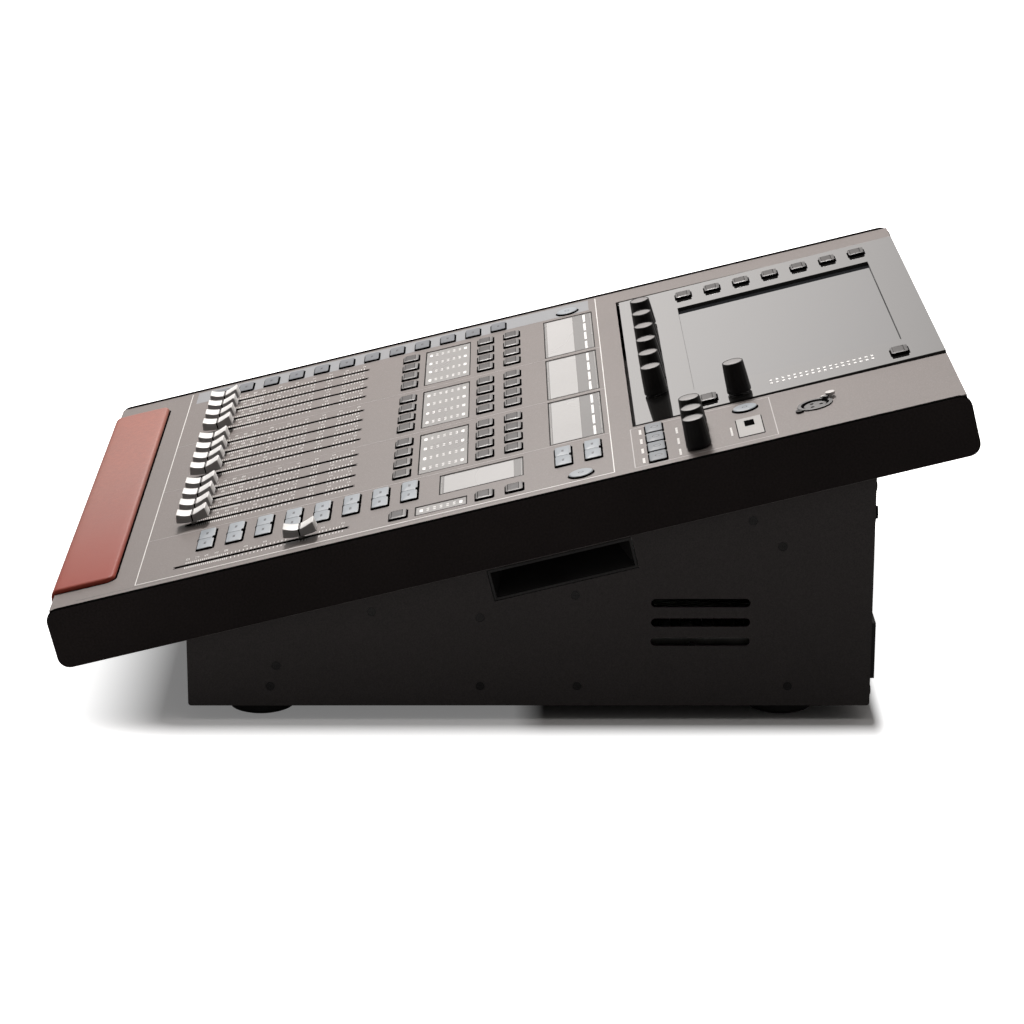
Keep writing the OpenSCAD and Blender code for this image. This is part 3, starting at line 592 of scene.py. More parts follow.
def palm_rest():
    low, high = bounds_in(SURFACE, "palm_rest")
    end = high[0]
    # stations (u, rear inset), denser round the rear corners
    straight = end - PALM_CORNER
    corner = []
    for i in range(PALM_CORNER_STEPS + 1):
        angle = math.pi / 2 * i / PALM_CORNER_STEPS
        corner.append((straight + PALM_CORNER * math.sin(angle),
                       PALM_CORNER * (1 - math.cos(angle))))
    stations = [(-u, inset) for u, inset in corner[::-1]]
    stations += [(u, 0.0) for u in np.linspace(-straight, straight, 25)[1:-1]]
    stations += corner
    loops = []
    for u, inset in stations:
        from_end = end - abs(u)           # the top rounds down close to an end
        radius = PALM_END_ROUND
        drop = 0.0
        if from_end <= radius:
            drop = radius - math.sqrt(max(radius ** 2 - (radius - from_end) ** 2, 0.0))
        loops.append([(u, v, max(n, 0.16) if v > low[1] + 3 else n)
                      for v, n in palm_section(low, high, inset, drop * 0.92)])
    shape = Shape()
    shape.loft(loops, PALM, PALM, PALM)
    install(shape.make("palm_pad", SURFACE, "chassis", smooth=60), "palm_rest")


def palm_painted_shadow():
    """Painted shadow: a dark margin on the panel round the pad."""
    low, high = bounds_in(SURFACE, "palm_rest")
    front, rear = low[1] + 12, high[1] + 1.0
    shape = Shape()
    shape.pad((0.0, (front + rear) / 2), (min(high[0] + 0.8, 235.6), (rear - front) / 2),
              PALM_CORNER + 0.7, [(0.005, 0.0), (0.06, 0.0)], SHADE_BLACK, SHADE_BLACK, SHADE_BLACK)
    install(shape.make("palm_painted_shadow", SURFACE, "chassis"))


palm_rest()
palm_painted_shadow()

# ------------------------------------------------------------- fader caps ---
# CAD node, body and name of each fader's cap
FADERS = [(f"fader_cap_{k:02d}", f"fader_{k:02d}", f"fader_grip_{k:02d}") for k in range(1, 13)]
FADERS.append(("main_fader_cap", "main_fader", "main_fader_grip"))
CAP_SLOPE_STEPS = 12


def cap_profile(length):
    """(v, n, in notch) over a cap, front to rear; length is half the cap's own."""
    points = [(-length + 0.62, 4.75, 0), (-length + 0.42, 5.2, 0), (-length + 0.45, 6.0, 0),
              (-length + 1.22, 10.1, 0), (-length + 1.45, 10.55, 0), (-length + 1.85, 10.8, 0)]
    shares = [i / CAP_SLOPE_STEPS for i in range(1, CAP_SLOPE_STEPS + 1)]
    points += [(-length + 1.85 + share * (length - 2.2), 8.35 + 2.45 * (1 - share) ** 1.9, 0)
               for share in shares]
    points += [(-0.3, 7.7, 1), (0.3, 7.7, 1), (0.48, 8.42, 1)]
    points += [(0.48 + share * (length - 2.25), 8.42 + 2.85 * share ** 1.35, 0)
               for share in shares]
    return points + [(length - 1.5, 11.2, 0), (length - 1.15, 10.9, 0),
                     (length - 0.22, 5.2, 0), (length - 0.25, 4.7, 0)]


def cap_shape(length, width):
    """Cap with raised ends, a hollow top, a centre notch and dark sides under a white skin.

    length and width are halves of the cap's own.
    """
    shape = Shape()
    profile = cap_profile(length)
    count = len(profile)

    def floor_at(v):
        """Height of the curved lower edge."""
        share = (v + length) / (2 * length)
        return (4.85 * (1 - share) ** 2 + 2 * 1.9 * share * (1 - share)
                + 4.45 * share * share + 0.05)

    def row(u, ease):
        return [(u, v * (1 - ease / length), z - (ease if z > 5 else 0)) for v, z, _ in profile]

    # top skin: rows (u, ease) across the width, eased down at both sides
    rows = [row(u, ease) for u, ease in (
        (-width, 0.42), (-width + 0.12, 0.16), (-width + 0.42, 0.0),
        (width - 0.42, 0.0), (width - 0.12, 0.16), (width, 0.42))]
    faces, looks = [], []
    for i in range(len(rows) - 1):
        for j in range(count - 1):
            a = i * count + j
            faces.append([a, a + count, a + count + 1, a + 1])
            looks.append(KEYRIM if profile[j][2] or profile[j + 1][2] else CAPWHITE)
    shape.add([point for points in rows for point in points], faces, looks)
    # side walls down to the curved lower edge
    for points, side in ((rows[0], -1), (rows[-1], 1)):
        verts, faces = [], []
        for u, v, z in points:
            verts += [(u, v, z), (u, v, min(floor_at(v), z))]
        for j in range(count - 1):
            face = [2 * j, 2 * j + 2, 2 * j + 3, 2 * j + 1]
            faces.append(face if side < 0 else face[::-1])
        shape.add(verts, faces, CAPDARK)
    # the underside follows the lower edge, in black: painted shade under the cap
    steps = 12
    verts = []
    for i in range(steps + 1):
        v = (-length + 0.62) + (2 * length - 0.9) * i / steps
        verts += [(u, v, floor_at(v)) for u in (-width, width)]
    shape.add(verts, [[2 * i, 2 * i + 2, 2 * i + 3, 2 * i + 1] for i in range(steps)], SHADE_BLACK)
    # centre line down both sides, in black: painted shade in the notch
    for side in (-1, 1):
        left, right = sorted((side * (width - 0.25), side * (width + 0.02)))
        shape.box((left, -0.45, 3.6), (right, 0.45, 8.3), SHADE_BLACK)
    # lever and carriage
    shape.box((-0.6, -2, -9), (0.6, 2, 5), STEEL)
    shape.box((-5, -6, -14), (5, 6, -9), MOULD)
    return shape


def fader_caps():
    """All caps share the first one's mesh."""
    first = None
    for node, body, name in FADERS:
        low, high = bounds_in(SURFACE, node)
        matrix = shift(SURFACE, *centre_of(SURFACE, node)[:2])
        if first is None:
            length, width = float(high[1] - low[1]) / 2, float(high[0] - low[0]) / 2 - 0.02
            obj = first = cap_shape(length, width).make(name, matrix, body, smooth=32)
        else:
            obj = place_object(first.data, name, matrix, body)
        install(obj, node)


fader_caps()

# ------------------------------------------------------------------ knobs ---
KNOB_FOOT, KNOB_WAIST, KNOB_TOP = 8.2, 8.05, 7.1     # radii
KNOB_SEGMENTS = 72
FLUTES, FLUTE_DEPTH = 18, 0.13
TALL_KNOB = 21                            # a knob above this height has its own mesh

# CAD node, body, frame and name
KNOBS = [(f"encoder_knob_{i}", f"encoder_{i}", MODULE, f"encoder_grip_{i}") for i in range(1, 7)]
KNOBS += [("select_wheel", "wheel", MODULE, "wheel_grip")]
KNOBS += [(f"custom_knob_{i}", f"custom_{i}", SURFACE, f"custom_grip_{i}") for i in range(1, 4)]


def knob_shape(height):
    """Fluted knob on a plain foot ring, with a light disc inset in its top."""
    edge = KNOB_TOP + 0.02
    profile = [(7.4, 0.95), (8.0, 1.0), (KNOB_FOOT, 1.35), (KNOB_FOOT, 3.7), (KNOB_WAIST, 4.0)]
    for i in range(1, 9):
        share = i / 9
        bulge = 0.10 * math.sin(math.pi * share)
        profile.append((KNOB_WAIST + (edge - KNOB_WAIST) * share + bulge,
                        4.0 + (height - 4.6) * share))
    profile += [(edge, height - 0.55), (KNOB_TOP - 0.10, height - 0.18),
                (KNOB_TOP - 0.42, height), (KNOB_TOP - 0.72, height - 0.04)]

    def flute(angle, z):
        if z < 3.0 or z > height - 1.2:
            return 0.0
        depth = FLUTE_DEPTH * min((z - 3.0) / 3.0, (height - 1.2 - z) / 2.0, 1.0)
        return -depth * (0.5 + 0.5 * math.cos(angle * FLUTES))

    disc = [(KNOB_TOP - 0.72, height - 0.04), (KNOB_TOP - 0.80, height - 0.22),
            (KNOB_TOP - 1.0, height - 0.20), (0.9, height - 0.14), (0.01, height - 0.14)]
    shape = Shape()
    shape.lathe((0, 0), profile, KNOB, KNOB_SEGMENTS, start=KNOB, wobble=flute)
    shape.lathe((0, 0), disc, [KNOB, KNOBTOP, KNOBTOP, KNOBTOP], KNOB_SEGMENTS)
    shape.lathe((0, 0), [(3.0, -8), (3.0, 1.0)], STEEL, 20, start=STEEL)
    return shape


def knobs():
    """Low knobs share the first one's mesh."""
    low_knob = None
    for node, body, frame, name in KNOBS:
        height = float(bounds_in(frame, node)[1][2])
        matrix = shift(frame, *centre_of(frame, node)[:2])
        if height > TALL_KNOB:
            obj = knob_shape(height).make(name, matrix, body, smooth=28)
        elif low_knob is None:
            obj = low_knob = knob_shape(height).make(name, matrix, body, smooth=28)
        else:
            obj = place_object(low_knob.data, name, matrix, body)
        install(obj, node)


knobs()

# ------------------------------------------------------------------- keys ---
GREY_KEY = (8.0, 5.7)                     # half sizes
PAIR_KEY = (10.1, 5.45)
USER_KEY = (9.5, 5.6)
ROUND_KEY = 8.0                           # radius
KEY_FOOT = -2.9                           # height of a key's hidden lower end
KEY_TOP = float(bounds_in(SURFACE, "select_keys")[1][2])
SCREEN_KEY_TOP = float(bounds_in(MODULE, "screen_keys")[1][2])
GAP_LEVELS = [(-1.9, 0.45), (-0.02, 0.45), (0.0, 0.0), (0.035, 0.02)]     # (height, inset)
REAR_KEYS_V = 400                         # command keys behind this are user keys
MAIN_KEYS_U = 190                         # grey keys beyond this belong to the main fader

gap_shade = Shape()                            # painted shade: black pads in and round the key openings on the panel
module_gap_shade = Shape()                     # the same on the display module


def gap(centre, half, right=1.0):
    """Painted shade: black pad filling the gap round a key; right is its width on the +u side."""
    gap_shade.pad((centre[0] + (right - 1.0) / 2, centre[1]),
             (half[0] + (right + 1.0) / 2, half[1] + 0.95), 1.6, GAP_LEVELS, SHADE_BLACK, end=SHADE_BLACK)


def grey_key(shape, centre, top, edge, rim):
    """Key with a sloping rim round a dark window; its walls and the step into the window are black,
    painted shade.
    """
    shape.pad(centre, GREY_KEY, 1.5, [
        (KEY_FOOT, 0.0), (top - 0.42, 0.0), (top - 0.36, 0.05, 0.05, 0.12),
        (top - 0.20, 0.40, 0.40, 1.3), (top - 0.06, 0.95, 0.95, 2.1),
        (top - 0.02, 1.2, 1.2, 2.4)], [SHADE_BLACK, SHADE_BLACK, edge, rim, rim], start=MOULD)
    shape.pad(centre, GREY_KEY, 1.5, [
        (top - 0.02, 1.2, 1.2, 2.4), (top - 0.10, 1.3, 1.3, 2.5), (top - 0.10, 1.5, 1.5, 2.7),
        (top, 1.65, 1.65, 2.85), (top, 2.0, 2.0, 3.2)], [SHADE_BLACK, SHADE_BLACK, KEYWIN, KEYWIN],
        end=KEYWIN)


def blue_key(shape, centre, half, face):
    """Plain key with black walls of painted shade, and the gap round it."""
    shape.pad(centre, half, 1.3, [
        (KEY_FOOT, 0.0), (KEY_TOP - 0.34, 0.0), (KEY_TOP - 0.28, 0.05, 0.05, 0.15),
        (KEY_TOP - 0.08, 0.25, 0.25, 1.1), (KEY_TOP, 0.5, 0.5, 1.5)],
        [SHADE_BLACK, SHADE_BLACK, BLUELIGHT if face is KEYBLUE else face, face], start=MOULD, end=face)
    gap(centre, half)


def dash_mark(shape, centre, width):
    """Three dashes standing for a key's caption."""
    pitch = width / 3
    for i in (-1, 0, 1):
        u = centre[0] + i * pitch
        shape.box((u - pitch * 0.38, centre[1] - 0.8, KEY_TOP - 0.02),
                  (u + pitch * 0.38, centre[1] + 0.8, KEY_TOP + 0.035), MARK)


def ring_mark(shape, centre, radius, width):
    segments = 20
    verts, faces = [], []
    for j in range(segments):
        angle = 2 * math.pi * j / segments
        verts += [(centre[0] + edge * math.cos(angle), centre[1] + edge * math.sin(angle),
                   KEY_TOP + 0.03) for edge in (radius - width, radius)]
        after = (j + 1) % segments
        faces.append([2 * j, 2 * j + 1, 2 * after + 1, 2 * after])
    shape.add(verts, faces, MARK)


def channel_key(shape, centre):
    grey_key(shape, centre, KEY_TOP, edge=RIMLIGHT, rim=KEYRIM)
    gap(centre, GREY_KEY, right=1.6)
    if centre[0] > MAIN_KEYS_U:
        ring_mark(shape, centre, radius=1.5, width=0.4)


def layer_key(shape, centre):
    blue_key(shape, centre, PAIR_KEY, KEYFAR)
    dash_mark(shape, centre, width=4.6)


def pair_key(shape, centre):
    blue_key(shape, centre, PAIR_KEY, KEYBLUE)
    dash_mark(shape, (centre[0], centre[1] - 0.2), width=4.8)


def command_key(shape, centre):
    if centre[1] > REAR_KEYS_V:
        blue_key(shape, centre, USER_KEY, KEYMID)
        ring_mark(shape, (centre[0], centre[1] + 0.6), radius=2.6, width=0.6)
    else:
        pair_key(shape, centre)


def round_key(shape, centre):
    # painted shade: black wall, and a black pad round the key
    profile = [(ROUND_KEY, KEY_FOOT), (ROUND_KEY, KEY_TOP - 0.5), (7.85, KEY_TOP - 0.3),
               (7.4, KEY_TOP - 0.06), (6.9, KEY_TOP)]
    shape.lathe(centre, profile, [SHADE_BLACK, BLUELIGHT, KEYBLUE, KEYBLUE], 40,
                start=MOULD, end=KEYBLUE)
    ring_mark(shape, centre, radius=1.9, width=0.5)
    outer = ROUND_KEY + 1.0
    gap_shade.lathe(centre, [(outer - inset, z) for z, inset in GAP_LEVELS], SHADE_BLACK, 40, end=SHADE_BLACK)


def screen_key(shape, centre):
    grey_key(shape, centre, SCREEN_KEY_TOP, edge=RIMDIM, rim=RIMDIM)
    # painted shade: black pad round the key on the module
    module_gap_shade.pad(centre, (GREY_KEY[0] + 1.0, GREY_KEY[1] + 0.9), 1.7, GAP_LEVELS, SHADE_BLACK,
                    end=SHADE_BLACK)


# CAD node, slot, function that draws one key, frame; the body is named after the node
KEY_BANKS = [
    ("select_keys", "key_grey", channel_key, SURFACE),
    ("solo_keys", "key_grey", channel_key, SURFACE),
    ("mute_keys", "key_grey", channel_key, SURFACE),
    ("layer_keys", "key_blue", layer_key, SURFACE),
    ("bank_keys", "key_blue", pair_key, SURFACE),
    ("command_keys", "key_blue", command_key, SURFACE),
    ("round_keys", "key_blue", round_key, SURFACE),
    ("screen_keys", "key_grey", screen_key, MODULE),
]
for node, slot, draw, frame in KEY_BANKS:
    bank = Shape()
    for centre in key_centres(frame, node):
        draw(bank, centre)
    body = node.replace("_keys", "_bank")
    install(bank.make(node + "_caps", frame, body), node)
install(module_gap_shade.make("screen_key_gap_shade", MODULE, "display"))

# ---------------------------------------------------------------- sockets ---
TALKBACK_CENTRE = (181.7, 512.8)
TALKBACK_RADIUS = 12.3                    # faces nearer the centre than this are dark
TALKBACK_STEP = 0.4                       # and so are those below this height


def pick_faces(node, test, look):
    """Gives the CAD faces whose centre (u, v, n) passes the test another material."""
    mesh = NODE[node].data
    mesh.materials.append(look)
    inverse = SURFACE.inverted()
    for face in mesh.polygons:
        if test(*((inverse @ face.center) * 1000)):
            face.material_index = len(mesh.materials) - 1


def talkback_dark(u, v, n):
    reach = math.hypot(u - TALKBACK_CENTRE[0], v - TALKBACK_CENTRE[1])
    return reach < TALKBACK_RADIUS or n < TALKBACK_STEP


def talkback_tab(u, v, n):
    return not talkback_dark(u, v, n) and v > TALKBACK_CENTRE[1] + 4


def sockets():
    low, high = bounds_in(SURFACE, "usb_socket")
    # painted shade: black pad in and round the gap of the USB socket
    gap_shade.pad((low + high)[:2] / 2,
             ((high[0] - low[0]) / 2 + 0.7, (high[1] - low[1]) / 2 + 0.6), 1.0,
             [(-0.02, 0.4), (0.0, 0.0), (0.035, 0.02)], SHADE_BLACK, end=SHADE_BLACK)
    pick_faces("talkback_socket", talkback_dark, BLACKWALL)
    pick_faces("talkback_socket", talkback_tab, TABLIGHT)
    usb_top = float(high[2])
    # painted shade: the USB socket's faces below its top in black
    pick_faces("usb_socket", lambda u, v, n: n < usb_top - 0.25, BLACKWALL)


sockets()


# ---------------------------------------------- key notches and outlines ---
def pair_centres():
    """Points midway between the two keys of each pair."""
    centres = key_centres(SURFACE, "bank_keys") + key_centres(SURFACE, "command_keys")
    spots = sorted({(round(u, 1), round(v, 1)) for u, v in centres if v < 380})
    return [((u + next_u) / 2, v) for u, v in spots for next_u, next_v in spots
            if abs(next_v - v) < 0.5 and 15 < next_u - u < 25 and abs(u) > 140]


def pair_notches():
    """Painted shade: dark notches where two keys meet, a larger one at the rear and one at the
    front.
    """
    for u, v in pair_centres():
        gap_shade.pad((u, v + 5.1), (2.6, 1.15), 0.9,
                 [(-1.0, 0.0), (KEY_TOP - 0.12, 0.0), (KEY_TOP - 0.02, 0.15)], SHADE_BLACK, end=SHADE_BLACK)
        gap_shade.pad((u, v - 5.5), (2.0, 0.7), 0.6, [(-1.0, 0.0), (KEY_TOP - 0.3, 0.0)], SHADE_BLACK,
                 end=SHADE_BLACK)


def window_outlines():
    side, end = 1.1, 0.6                  # line widths along u and along v
    for node in ("channel_displays", "meter_lenses"):
        for low, high in islands(SURFACE, node):
            u0, v0 = low[:2] - 0.05
            u1, v1 = high[:2] + 0.05
            for left, front, right, rear in (
                    (u0 - side, v0 - end, u0, v1 + end), (u1, v0 - end, u1 + side, v1 + end),
                    (u0, v0 - end, u1, v0), (u0, v1, u1, v1 + end)):
                gap_shade.box((left, front, 0.0), (right, rear, 0.03), OUTLINE)


pair_notches()
window_outlines()
install(gap_shade.make("key_gap_shade", SURFACE, "chassis"))

# --------------------------------------------------- displays and meters ---
WIDE_WINDOW = 60                          # wider windows serve four channels
LIT_HEIGHT = 0.05                         # how far lit areas stand above a window


def channel_displays():
    shape = Shape()
    for (u0, v0, bottom), (u1, v1, top) in islands(SURFACE, "channel_displays"):
        lit = top + LIT_HEIGHT
        shape.box((u0, v0, bottom), (u1, v1, top), LCDGREY)
        if u1 - u0 > WIDE_WINDOW:
            # lit area at the front, a row of dashes at the rear
            shape.box((u0 + 1.6, v0 + 1.8, top), (u1 - 1.6, v0 + 21.6, lit), LCDWHITE)
            width = u1 - u0
            for i in range(4):
                u = u0 + width * (0.5 + i) / 4
                shape.box((u - width * 0.10, v1 - 6.6, top),
                          (u + width * 0.10, v1 - 4.9, lit), LED)
        else:
            shape.box((u0 + 1.6, v0 + 2.6, top), (u1 - 1.6, v1 - 6.0, lit), LCDWHITE)
        # thin border: outer and inner distance from the edge
        far, near = 0.5, 1.1
        for left, front, right, rear in (
                (u0 + far, v0 + far, u1 - far, v0 + near),
                (u0 + far, v1 - near, u1 - far, v1 - far),
                (u0 + far, v0 + far, u0 + near, v1 - far),
                (u1 - near, v0 + far, u1 - far, v1 - far)):
            shape.box((left, front, top), (right, rear, top + 0.04), METER)
    obj = shape.make("display_windows", SURFACE, "chassis", smooth=30)
    install(obj, "channel_displays")


def meter_lenses():
    """Each column has one long light at both ends and five split ones between."""
    shape = Shape()
    for (u0, v0, bottom), (u1, v1, top) in islands(SURFACE, "meter_lenses"):
        shape.pad(((u0 + u1) / 2, (v0 + v1) / 2), ((u1 - u0) / 2, (v1 - v0) / 2), 0.6,
                  [(bottom, 0), (top - 0.15, 0), (top, 0.25)], METER, METER, METER)
        levels = [(top - 0.05, 0.0), (top + 0.03, 0.0), (top + LIT_HEIGHT, 0.05)]
        columns = 4 if u1 - u0 > WIDE_WINDOW else 1
        for i in range(columns):
            u = u0 + (u1 - u0) * (i + 0.5) / columns
            for k in range(7):
                v = v0 + 3.6 + (v1 - v0 - 7.2) * k / 6
                if k in (0, 6):
                    shape.pad((u, v), (2.9, 1.15), 0.7, levels, LED, end=LED)
                else:
                    for side in (-1, 1):
                        shape.pad((u + side * 1.85, v), (1.15, 0.9), 0.4, levels, LEDDIM,
                                  end=LEDDIM)
    obj = shape.make("meter_windows", SURFACE, "chassis", smooth=30)
    install(obj, "meter_lenses")


channel_displays()
meter_lenses()

# ---------------------------------------------------------- panel printing ---
INK = 0.05                                # thickness of the print
FADER_FRONT, FADER_REAR = 59.3, 377.6     # v of the lines before and behind the channels
USER_LEFT, USER_RIGHT, USER_FRONT, USER_REAR = 139, 226.5, 391.2, 485
# start (u, v), end (u, v), width, material
PANEL_LINES = [
    ((-231.5, FADER_FRONT), (225.2, FADER_FRONT), 0.55, PRINT),
    ((225.0, FADER_FRONT), (225.0, 378), 0.9, PRINT),
    ((-231.5, FADER_REAR), (225.2, FADER_REAR), 0.6, PRINT),
    ((134.8, FADER_FRONT), (134.8, FADER_REAR), 0.6, FAINT),
    ((24, FADER_FRONT), (24, FADER_REAR), 0.45, FAINT),
    ((-88, FADER_FRONT), (-88, FADER_REAR), 0.45, FAINT),
    # outline of the user section
    ((USER_LEFT, USER_FRONT), (USER_RIGHT, USER_FRONT), 0.6, FAINT),
    ((USER_LEFT, USER_REAR), (USER_RIGHT, USER_REAR), 0.6, FAINT),
    ((USER_LEFT, USER_FRONT), (USER_LEFT, USER_REAR), 0.6, FAINT),
    ((USER_RIGHT, USER_FRONT), (USER_RIGHT, USER_REAR), 0.6, FAINT),
]
# painted shadow line near the +u edge
SHADE_LINE = ((228.4, 20), (228.4, 330), 0.5, PAINTED_SHADOW_LINE)

# v of the scale's tick marks
TICKS = [91.6 + 1.4 * i for i in range(21)] + [122.4 + 2.6 * i for i in range(15)]
TICKS += [168.3, 170.3, 172.4, 181.5, 183.6, 186.0, 188.5, 190.9, 192.9, 194.9, 197.1]
# v and wording of the scale's figures
FIGURES = [(92.2, "60"), (98.6, "50"), (104.8, "40"), (111.5, "30"), (118.1, "20"),
           (131.3, "15"), (144.3, "10"), (157.8, "5"), (170.8, "0"), (183.3, "5"),
           (197.0, "10")]
FIGURE_OFFSET = 12.6                      # from a slot to the middle of its figures
DIGIT_WIDTH, DIGIT_HEIGHT, DIGIT_SPACE, STROKE = 1.25, 2.0, 0.7, 0.36
# seven strokes (x0, y0, x1, y1) in shares of a digit's size, and those of each digit
STROKES = {"a": (0, 1, 1, 1), "g": (0, 0.5, 1, 0.5), "d": (0, 0, 1, 0), "f": (0, 0.5, 0, 1),
           "b": (1, 0.5, 1, 1), "e": (0, 0, 0, 0.5), "c": (1, 0, 1, 0.5)}
DIGITS = {"0": "abcdef", "1": "bc", "2": "abged", "3": "abgcd", "4": "fgbc", "5": "afgcd",
          "6": "afgedc"}
DASH_PITCH = 2.7


def line(shape, start, end, width, look):
    """Straight line along u or along v."""
    (u0, v0), (u1, v1) = start, end
    if abs(u1 - u0) > abs(v1 - v0):
        shape.box((u0, v0 - width / 2, 0.0), (u1, v0 + width / 2, INK), look)
    else:
        shape.box((u0 - width / 2, v0, 0.0), (u0 + width / 2, v1, INK), look)


def digit(shape, character, u, v):
    for stroke in DIGITS[character]:
        x0, y0, x1, y1 = STROKES[stroke]
        shape.box((u + x0 * DIGIT_WIDTH - STROKE / 2, v + y0 * DIGIT_HEIGHT - STROKE / 2, 0.0),
                  (u + x1 * DIGIT_WIDTH + STROKE / 2, v + y1 * DIGIT_HEIGHT + STROKE / 2, INK),
                  PRINT)


def fader_scale(shape, slot_u):
    """Ticks on both sides of a slot, figures on its -u side."""
    for v in TICKS:
        for side in (-1, 1):
            left, right = sorted((slot_u + side * 3.2, slot_u + side * 6.6))
            shape.box((left, v - 0.24, 0.0), (right, v + 0.24, INK), PRINT)
    advance = DIGIT_WIDTH + DIGIT_SPACE
    for v, word in FIGURES:
        u = slot_u - FIGURE_OFFSET - (len(word) * advance - DIGIT_SPACE) / 2
        for character in word:
            digit(shape, character, u, v - DIGIT_HEIGHT / 2)
            u += advance


def caption(shape, u, v, count, dash):
    """Row of dashes along u standing for a printed caption; dash is the size of one."""
    for i in range(count):
        middle = u + (i - (count - 1) / 2) * DASH_PITCH
        shape.box((middle - dash[0] / 2, v - dash[1] / 2, 0),
                  (middle + dash[0] / 2, v + dash[1] / 2, INK), PRINT)


def slot_lips_and_shade(slots):
    """Rubber lips closing each slot on both sides of the lever, and a black strip of painted shade
    on the panel along each slot edge.
    """
    shape = Shape()
    for slot_u in slots:
        for side in (-1, 1):
            left, right = sorted((slot_u + side * 0.66, slot_u + side * 1.28))
            shape.box((left, 84.6, -1.8), (right, 200.4, -0.12), LIP_AND_SHADE)
            # painted shade: black strip on the panel along the slot edge
            left, right = sorted((slot_u + side * 1.2, slot_u + side * 2.15))
            shape.box((left, 83.4, -0.005), (right, 201.6, 0.03), LIP_AND_SHADE)
    install(shape.make("slot_lips_and_shade", SURFACE, "chassis", smooth=30))


def panel_printing(slots):
    shape = Shape()
    for entry in PANEL_LINES:
        line(shape, *entry)
    shape.box((-232.0, 64, 0.0), (-202, 372, 0.03), BAND)
    for slot_u in slots:
        fader_scale(shape, slot_u)
    line(shape, *SHADE_LINE)
    for u, v in key_centres(SURFACE, "command_keys"):
        if v > REAR_KEYS_V:
            caption(shape, u + 0.5, v - 9.4, count=4, dash=(2.0, 1.7))
    for k in (1, 2, 3):
        u, v, _ = centre_of(SURFACE, f"custom_knob_{k}")
        caption(shape, u + 1.5, v - 12.6, count=5, dash=(1.9, 1.5))
    u, v, _ = centre_of(SURFACE, "usb_socket")
    caption(shape, u + 2, v - 12.4, count=7, dash=(1.9, 1.3))
    install(shape.make("panel_printing", SURFACE, "chassis", smooth=30))


def module_meter_dots():
    """Two columns of dots on the display module."""
    shape = Shape()
    for column in range(2):
        for i in range(18):
            u, v = 103.4 + 7.0 * column, 489.7 + 4.08 * i
            shape.box((u - 1.4, v - 0.85, 0.0), (u + 1.4, v + 0.85, 0.05), LED)
    install(shape.make("module_meter_dots", MODULE, "display", smooth=30))


slot_places = [centre_of(SURFACE, node)[0] for node, _, _ in FADERS]
slot_lips_and_shade(slot_places)
panel_printing(slot_places)
module_meter_dots()

# ----------------------------------------------------------------- camera ---
CAMERA_AT = Vector((2.3426, -0.00905, 0.8073))
CAMERA_PITCH, CAMERA_YAW, CAMERA_ROLL = (math.radians(a) for a in (17.540, 0.308, 0.092))
CAMERA_LENS, CAMERA_SENSOR = 121.665234, 36


def add_camera():
    """Looks at the console from its +X side, slightly down."""
    forward = Vector((-math.cos(CAMERA_PITCH) * math.cos(CAMERA_YAW),
                      math.cos(CAMERA_PITCH) * math.sin(CAMERA_YAW), -math.sin(CAMERA_PITCH)))
    level = forward.cross(Vector((0, 0, 1))).normalized()
    upright = level.cross(forward)
    right = level * math.cos(CAMERA_ROLL) + upright * math.sin(CAMERA_ROLL)
    up = -level * math.sin(CAMERA_ROLL) + upright * math.cos(CAMERA_ROLL)
    data = bpy.data.cameras.new("camera")
    data.sensor_width = CAMERA_SENSOR
    data.sensor_fit = "HORIZONTAL"
    data.lens = CAMERA_LENS
    data.clip_start, data.clip_end = 0.05, 60
    camera = bpy.data.objects.new("camera", data)
    bpy.context.scene.collection.objects.link(camera)
    rows = [tuple(column[i] for column in (right, up, -forward, CAMERA_AT)) for i in range(3)]
    camera.matrix_world = Matrix(rows + [(0, 0, 0, 1)])
    bpy.context.scene.camera = camera


add_camera()

# ------------------------------------------------------------------ floor ---
FLOOR_HALF = 9.0                          # metres, as are the floor's other lengths
FRONT_TO_REAR = (-0.01, 0.01)             # Y over which the front's values turn to the rear's


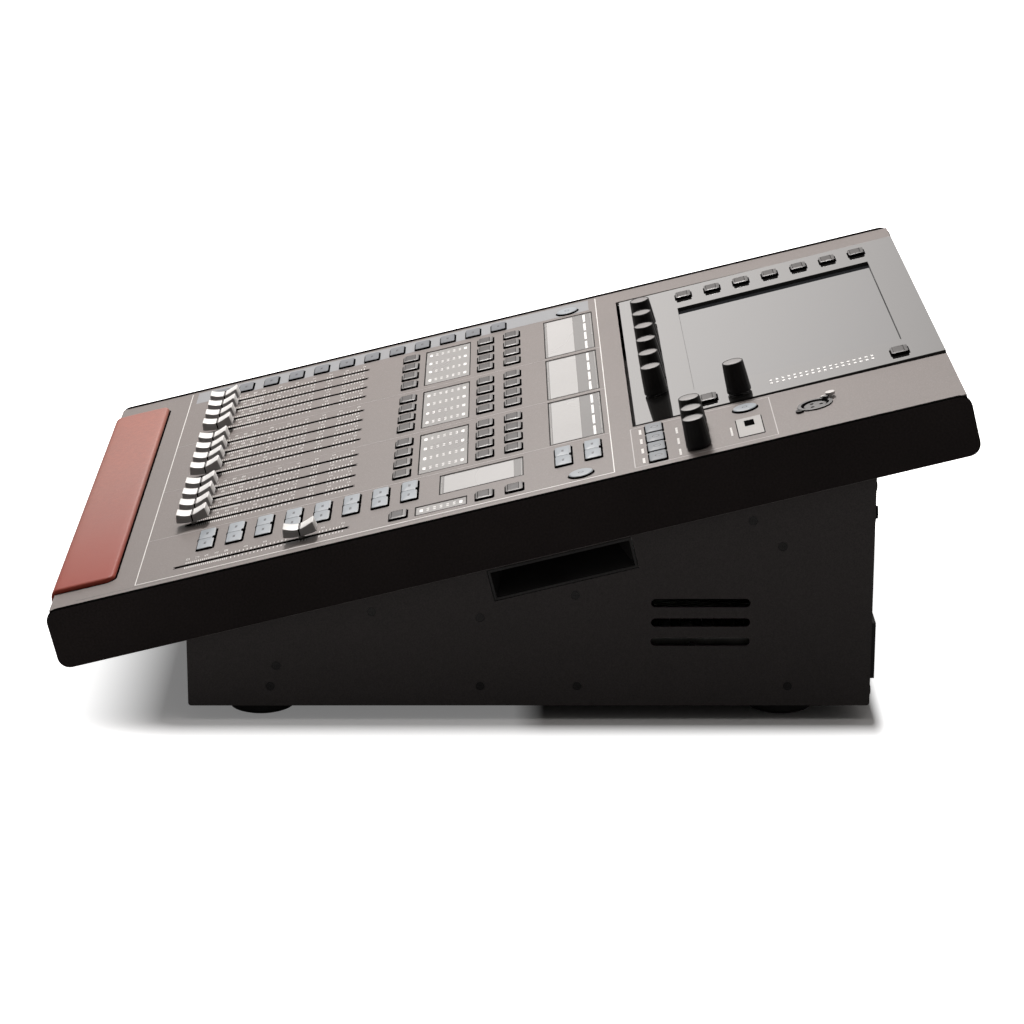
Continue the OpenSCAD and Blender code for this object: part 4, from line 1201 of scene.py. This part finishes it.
def floor_material():
    """Lit table whose own glow, seen by the camera only, starts a little off the base: a painted
    shadow round the base.
    """
    paper = bpy.data.materials.new("floor_paper")
    paper.use_nodes = True
    tree = paper.node_tree
    tree.nodes.clear()
    seen = add_node(tree, "LightPath").outputs["Is Camera Ray"]
    tint = add_node(tree, "Mix", {"Factor": seen, "A": rgb(0.42), "B": rgb(0.8)},
                    data_type="RGBA")
    matt = add_node(tree, "BsdfDiffuse", {"Color": tint.outputs["Result"]})
    # distance from the base's footprint, its Y part weighted for front and rear
    low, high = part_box("chassis_tub")
    centre = tuple((low[k] + high[k]) / 2 for k in range(2)) + (0.0,)
    half = tuple((high[k] - low[k]) / 2 for k in range(2)) + (0.0,)
    position = add_node(tree, "NewGeometry").outputs["Position"]
    offset = vector_math(tree, "SUBTRACT", position, centre)
    outside = vector_math(tree, "SUBTRACT", vector_math(tree, "ABSOLUTE", offset), half)
    outside = vector_math(tree, "MAXIMUM", outside, (0.0, 0.0, 0.0))
    offset_y = add_node(tree, "SeparateXYZ", {0: offset}).outputs["Y"]
    weight_y = map_range(tree, offset_y, FRONT_TO_REAR, (0.45, 3.0))
    weight = add_node(tree, "CombineXYZ", {"X": 1.0, "Y": weight_y}).outputs["Vector"]
    distance = vector_math(tree, "LENGTH", vector_math(tree, "MULTIPLY", outside, weight))
    # painted shadow: least glow next to the base, a little more in front than at the rear
    least = map_range(tree, offset_y, FRONT_TO_REAR, (0.17, 0.0))
    glow = map_range(tree, distance, (0.008, 0.032), (least, 0.95))
    strength = scalar_math(tree, "MULTIPLY", glow, seen)
    light = add_node(tree, "Emission", {"Strength": strength})
    both = add_node(tree, "AddShader", {0: matt.outputs["BSDF"], 1: light.outputs["Emission"]})
    add_node(tree, "OutputMaterial", {"Surface": both.outputs["Shader"]})
    return paper


def add_floor():
    mesh = bpy.data.meshes.new("floor")
    corners = [(x * FLOOR_HALF, y * FLOOR_HALF, 0) for x, y in ((-1, -1), (1, -1), (1, 1), (-1, 1))]
    mesh.from_pydata(corners, [], [(0, 1, 2, 3)])
    floor = bpy.data.objects.new("floor", mesh)
    bpy.context.scene.collection.objects.link(floor)
    mesh.materials.append(floor_material())


add_floor()

# ------------------------------------------------------- world and lights ---
WARM_WHITE = (1.0, 0.963, 0.938)
BACKDROP = 1.3                            # world strength as the camera sees it
MATT_SHARE = 0.60                         # part of the surround that lights matt surfaces
GLOW_TOWARDS = Vector((-0.952, -0.19, 0.24)).normalized()


def add_world():
    """Surround that brightens towards -X, with a brighter patch low on that side."""
    world = bpy.data.worlds.new("studio")
    bpy.context.scene.world = world
    world.use_nodes = True
    tree = world.node_tree
    tree.nodes.clear()
    direction = add_node(tree, "TexCoord").outputs["Generated"]
    facing = vector_math(tree, "DOT_PRODUCT", direction, (-1.0, 0.0, 0.0))
    sweep = map_range(tree, facing, (-0.5, 0.8), (0.13, 0.72), interpolation_type="SMOOTHSTEP")
    closeness = vector_math(tree, "DOT_PRODUCT", direction, GLOW_TOWARDS)
    patch = map_range(tree, closeness, (0.9826, 1.0), (0.0, 0.46))
    total = scalar_math(tree, "ADD", sweep, patch)
    rays = add_node(tree, "LightPath").outputs
    soft = add_node(tree, "Mix", {
        "Factor": rays["Is Diffuse Ray"], "A": total,
        "B": scalar_math(tree, "MULTIPLY", total, MATT_SHARE)}, data_type="FLOAT")
    strength = add_node(tree, "Mix", {
        "Factor": rays["Is Camera Ray"], "A": soft.outputs["Result"], "B": BACKDROP},
        data_type="FLOAT")
    background = add_node(tree, "Background", {
        "Color": WARM_WHITE + (1.0,), "Strength": strength.outputs["Result"]})
    add_node(tree, "OutputWorld", {"Surface": background.outputs["Background"]})


def softbox(name, location, side, power):
    """Square area light aimed at the console; metres and watts."""
    data = bpy.data.lights.new(name, "AREA")
    data.shape = "RECTANGLE"
    data.size = data.size_y = side
    data.energy = power
    data.color = WARM_WHITE
    light = bpy.data.objects.new(name, data)
    bpy.context.scene.collection.objects.link(light)
    light.location = location
    light.rotation_mode = "QUATERNION"
    aim = Vector((0, 0, 0.1)) - Vector(location)
    light.rotation_quaternion = aim.to_track_quat("-Z", "Y")


add_world()
softbox("key_softbox", location=(-1.42, -0.38, 1.8), side=0.5, power=59)
softbox("top_softbox", location=(0.1, 0.2, 2.4), side=1.8, power=13)

bpy.context.scene.view_settings.view_transform = "Standard"
bpy.context.scene.view_settings.look = "None"
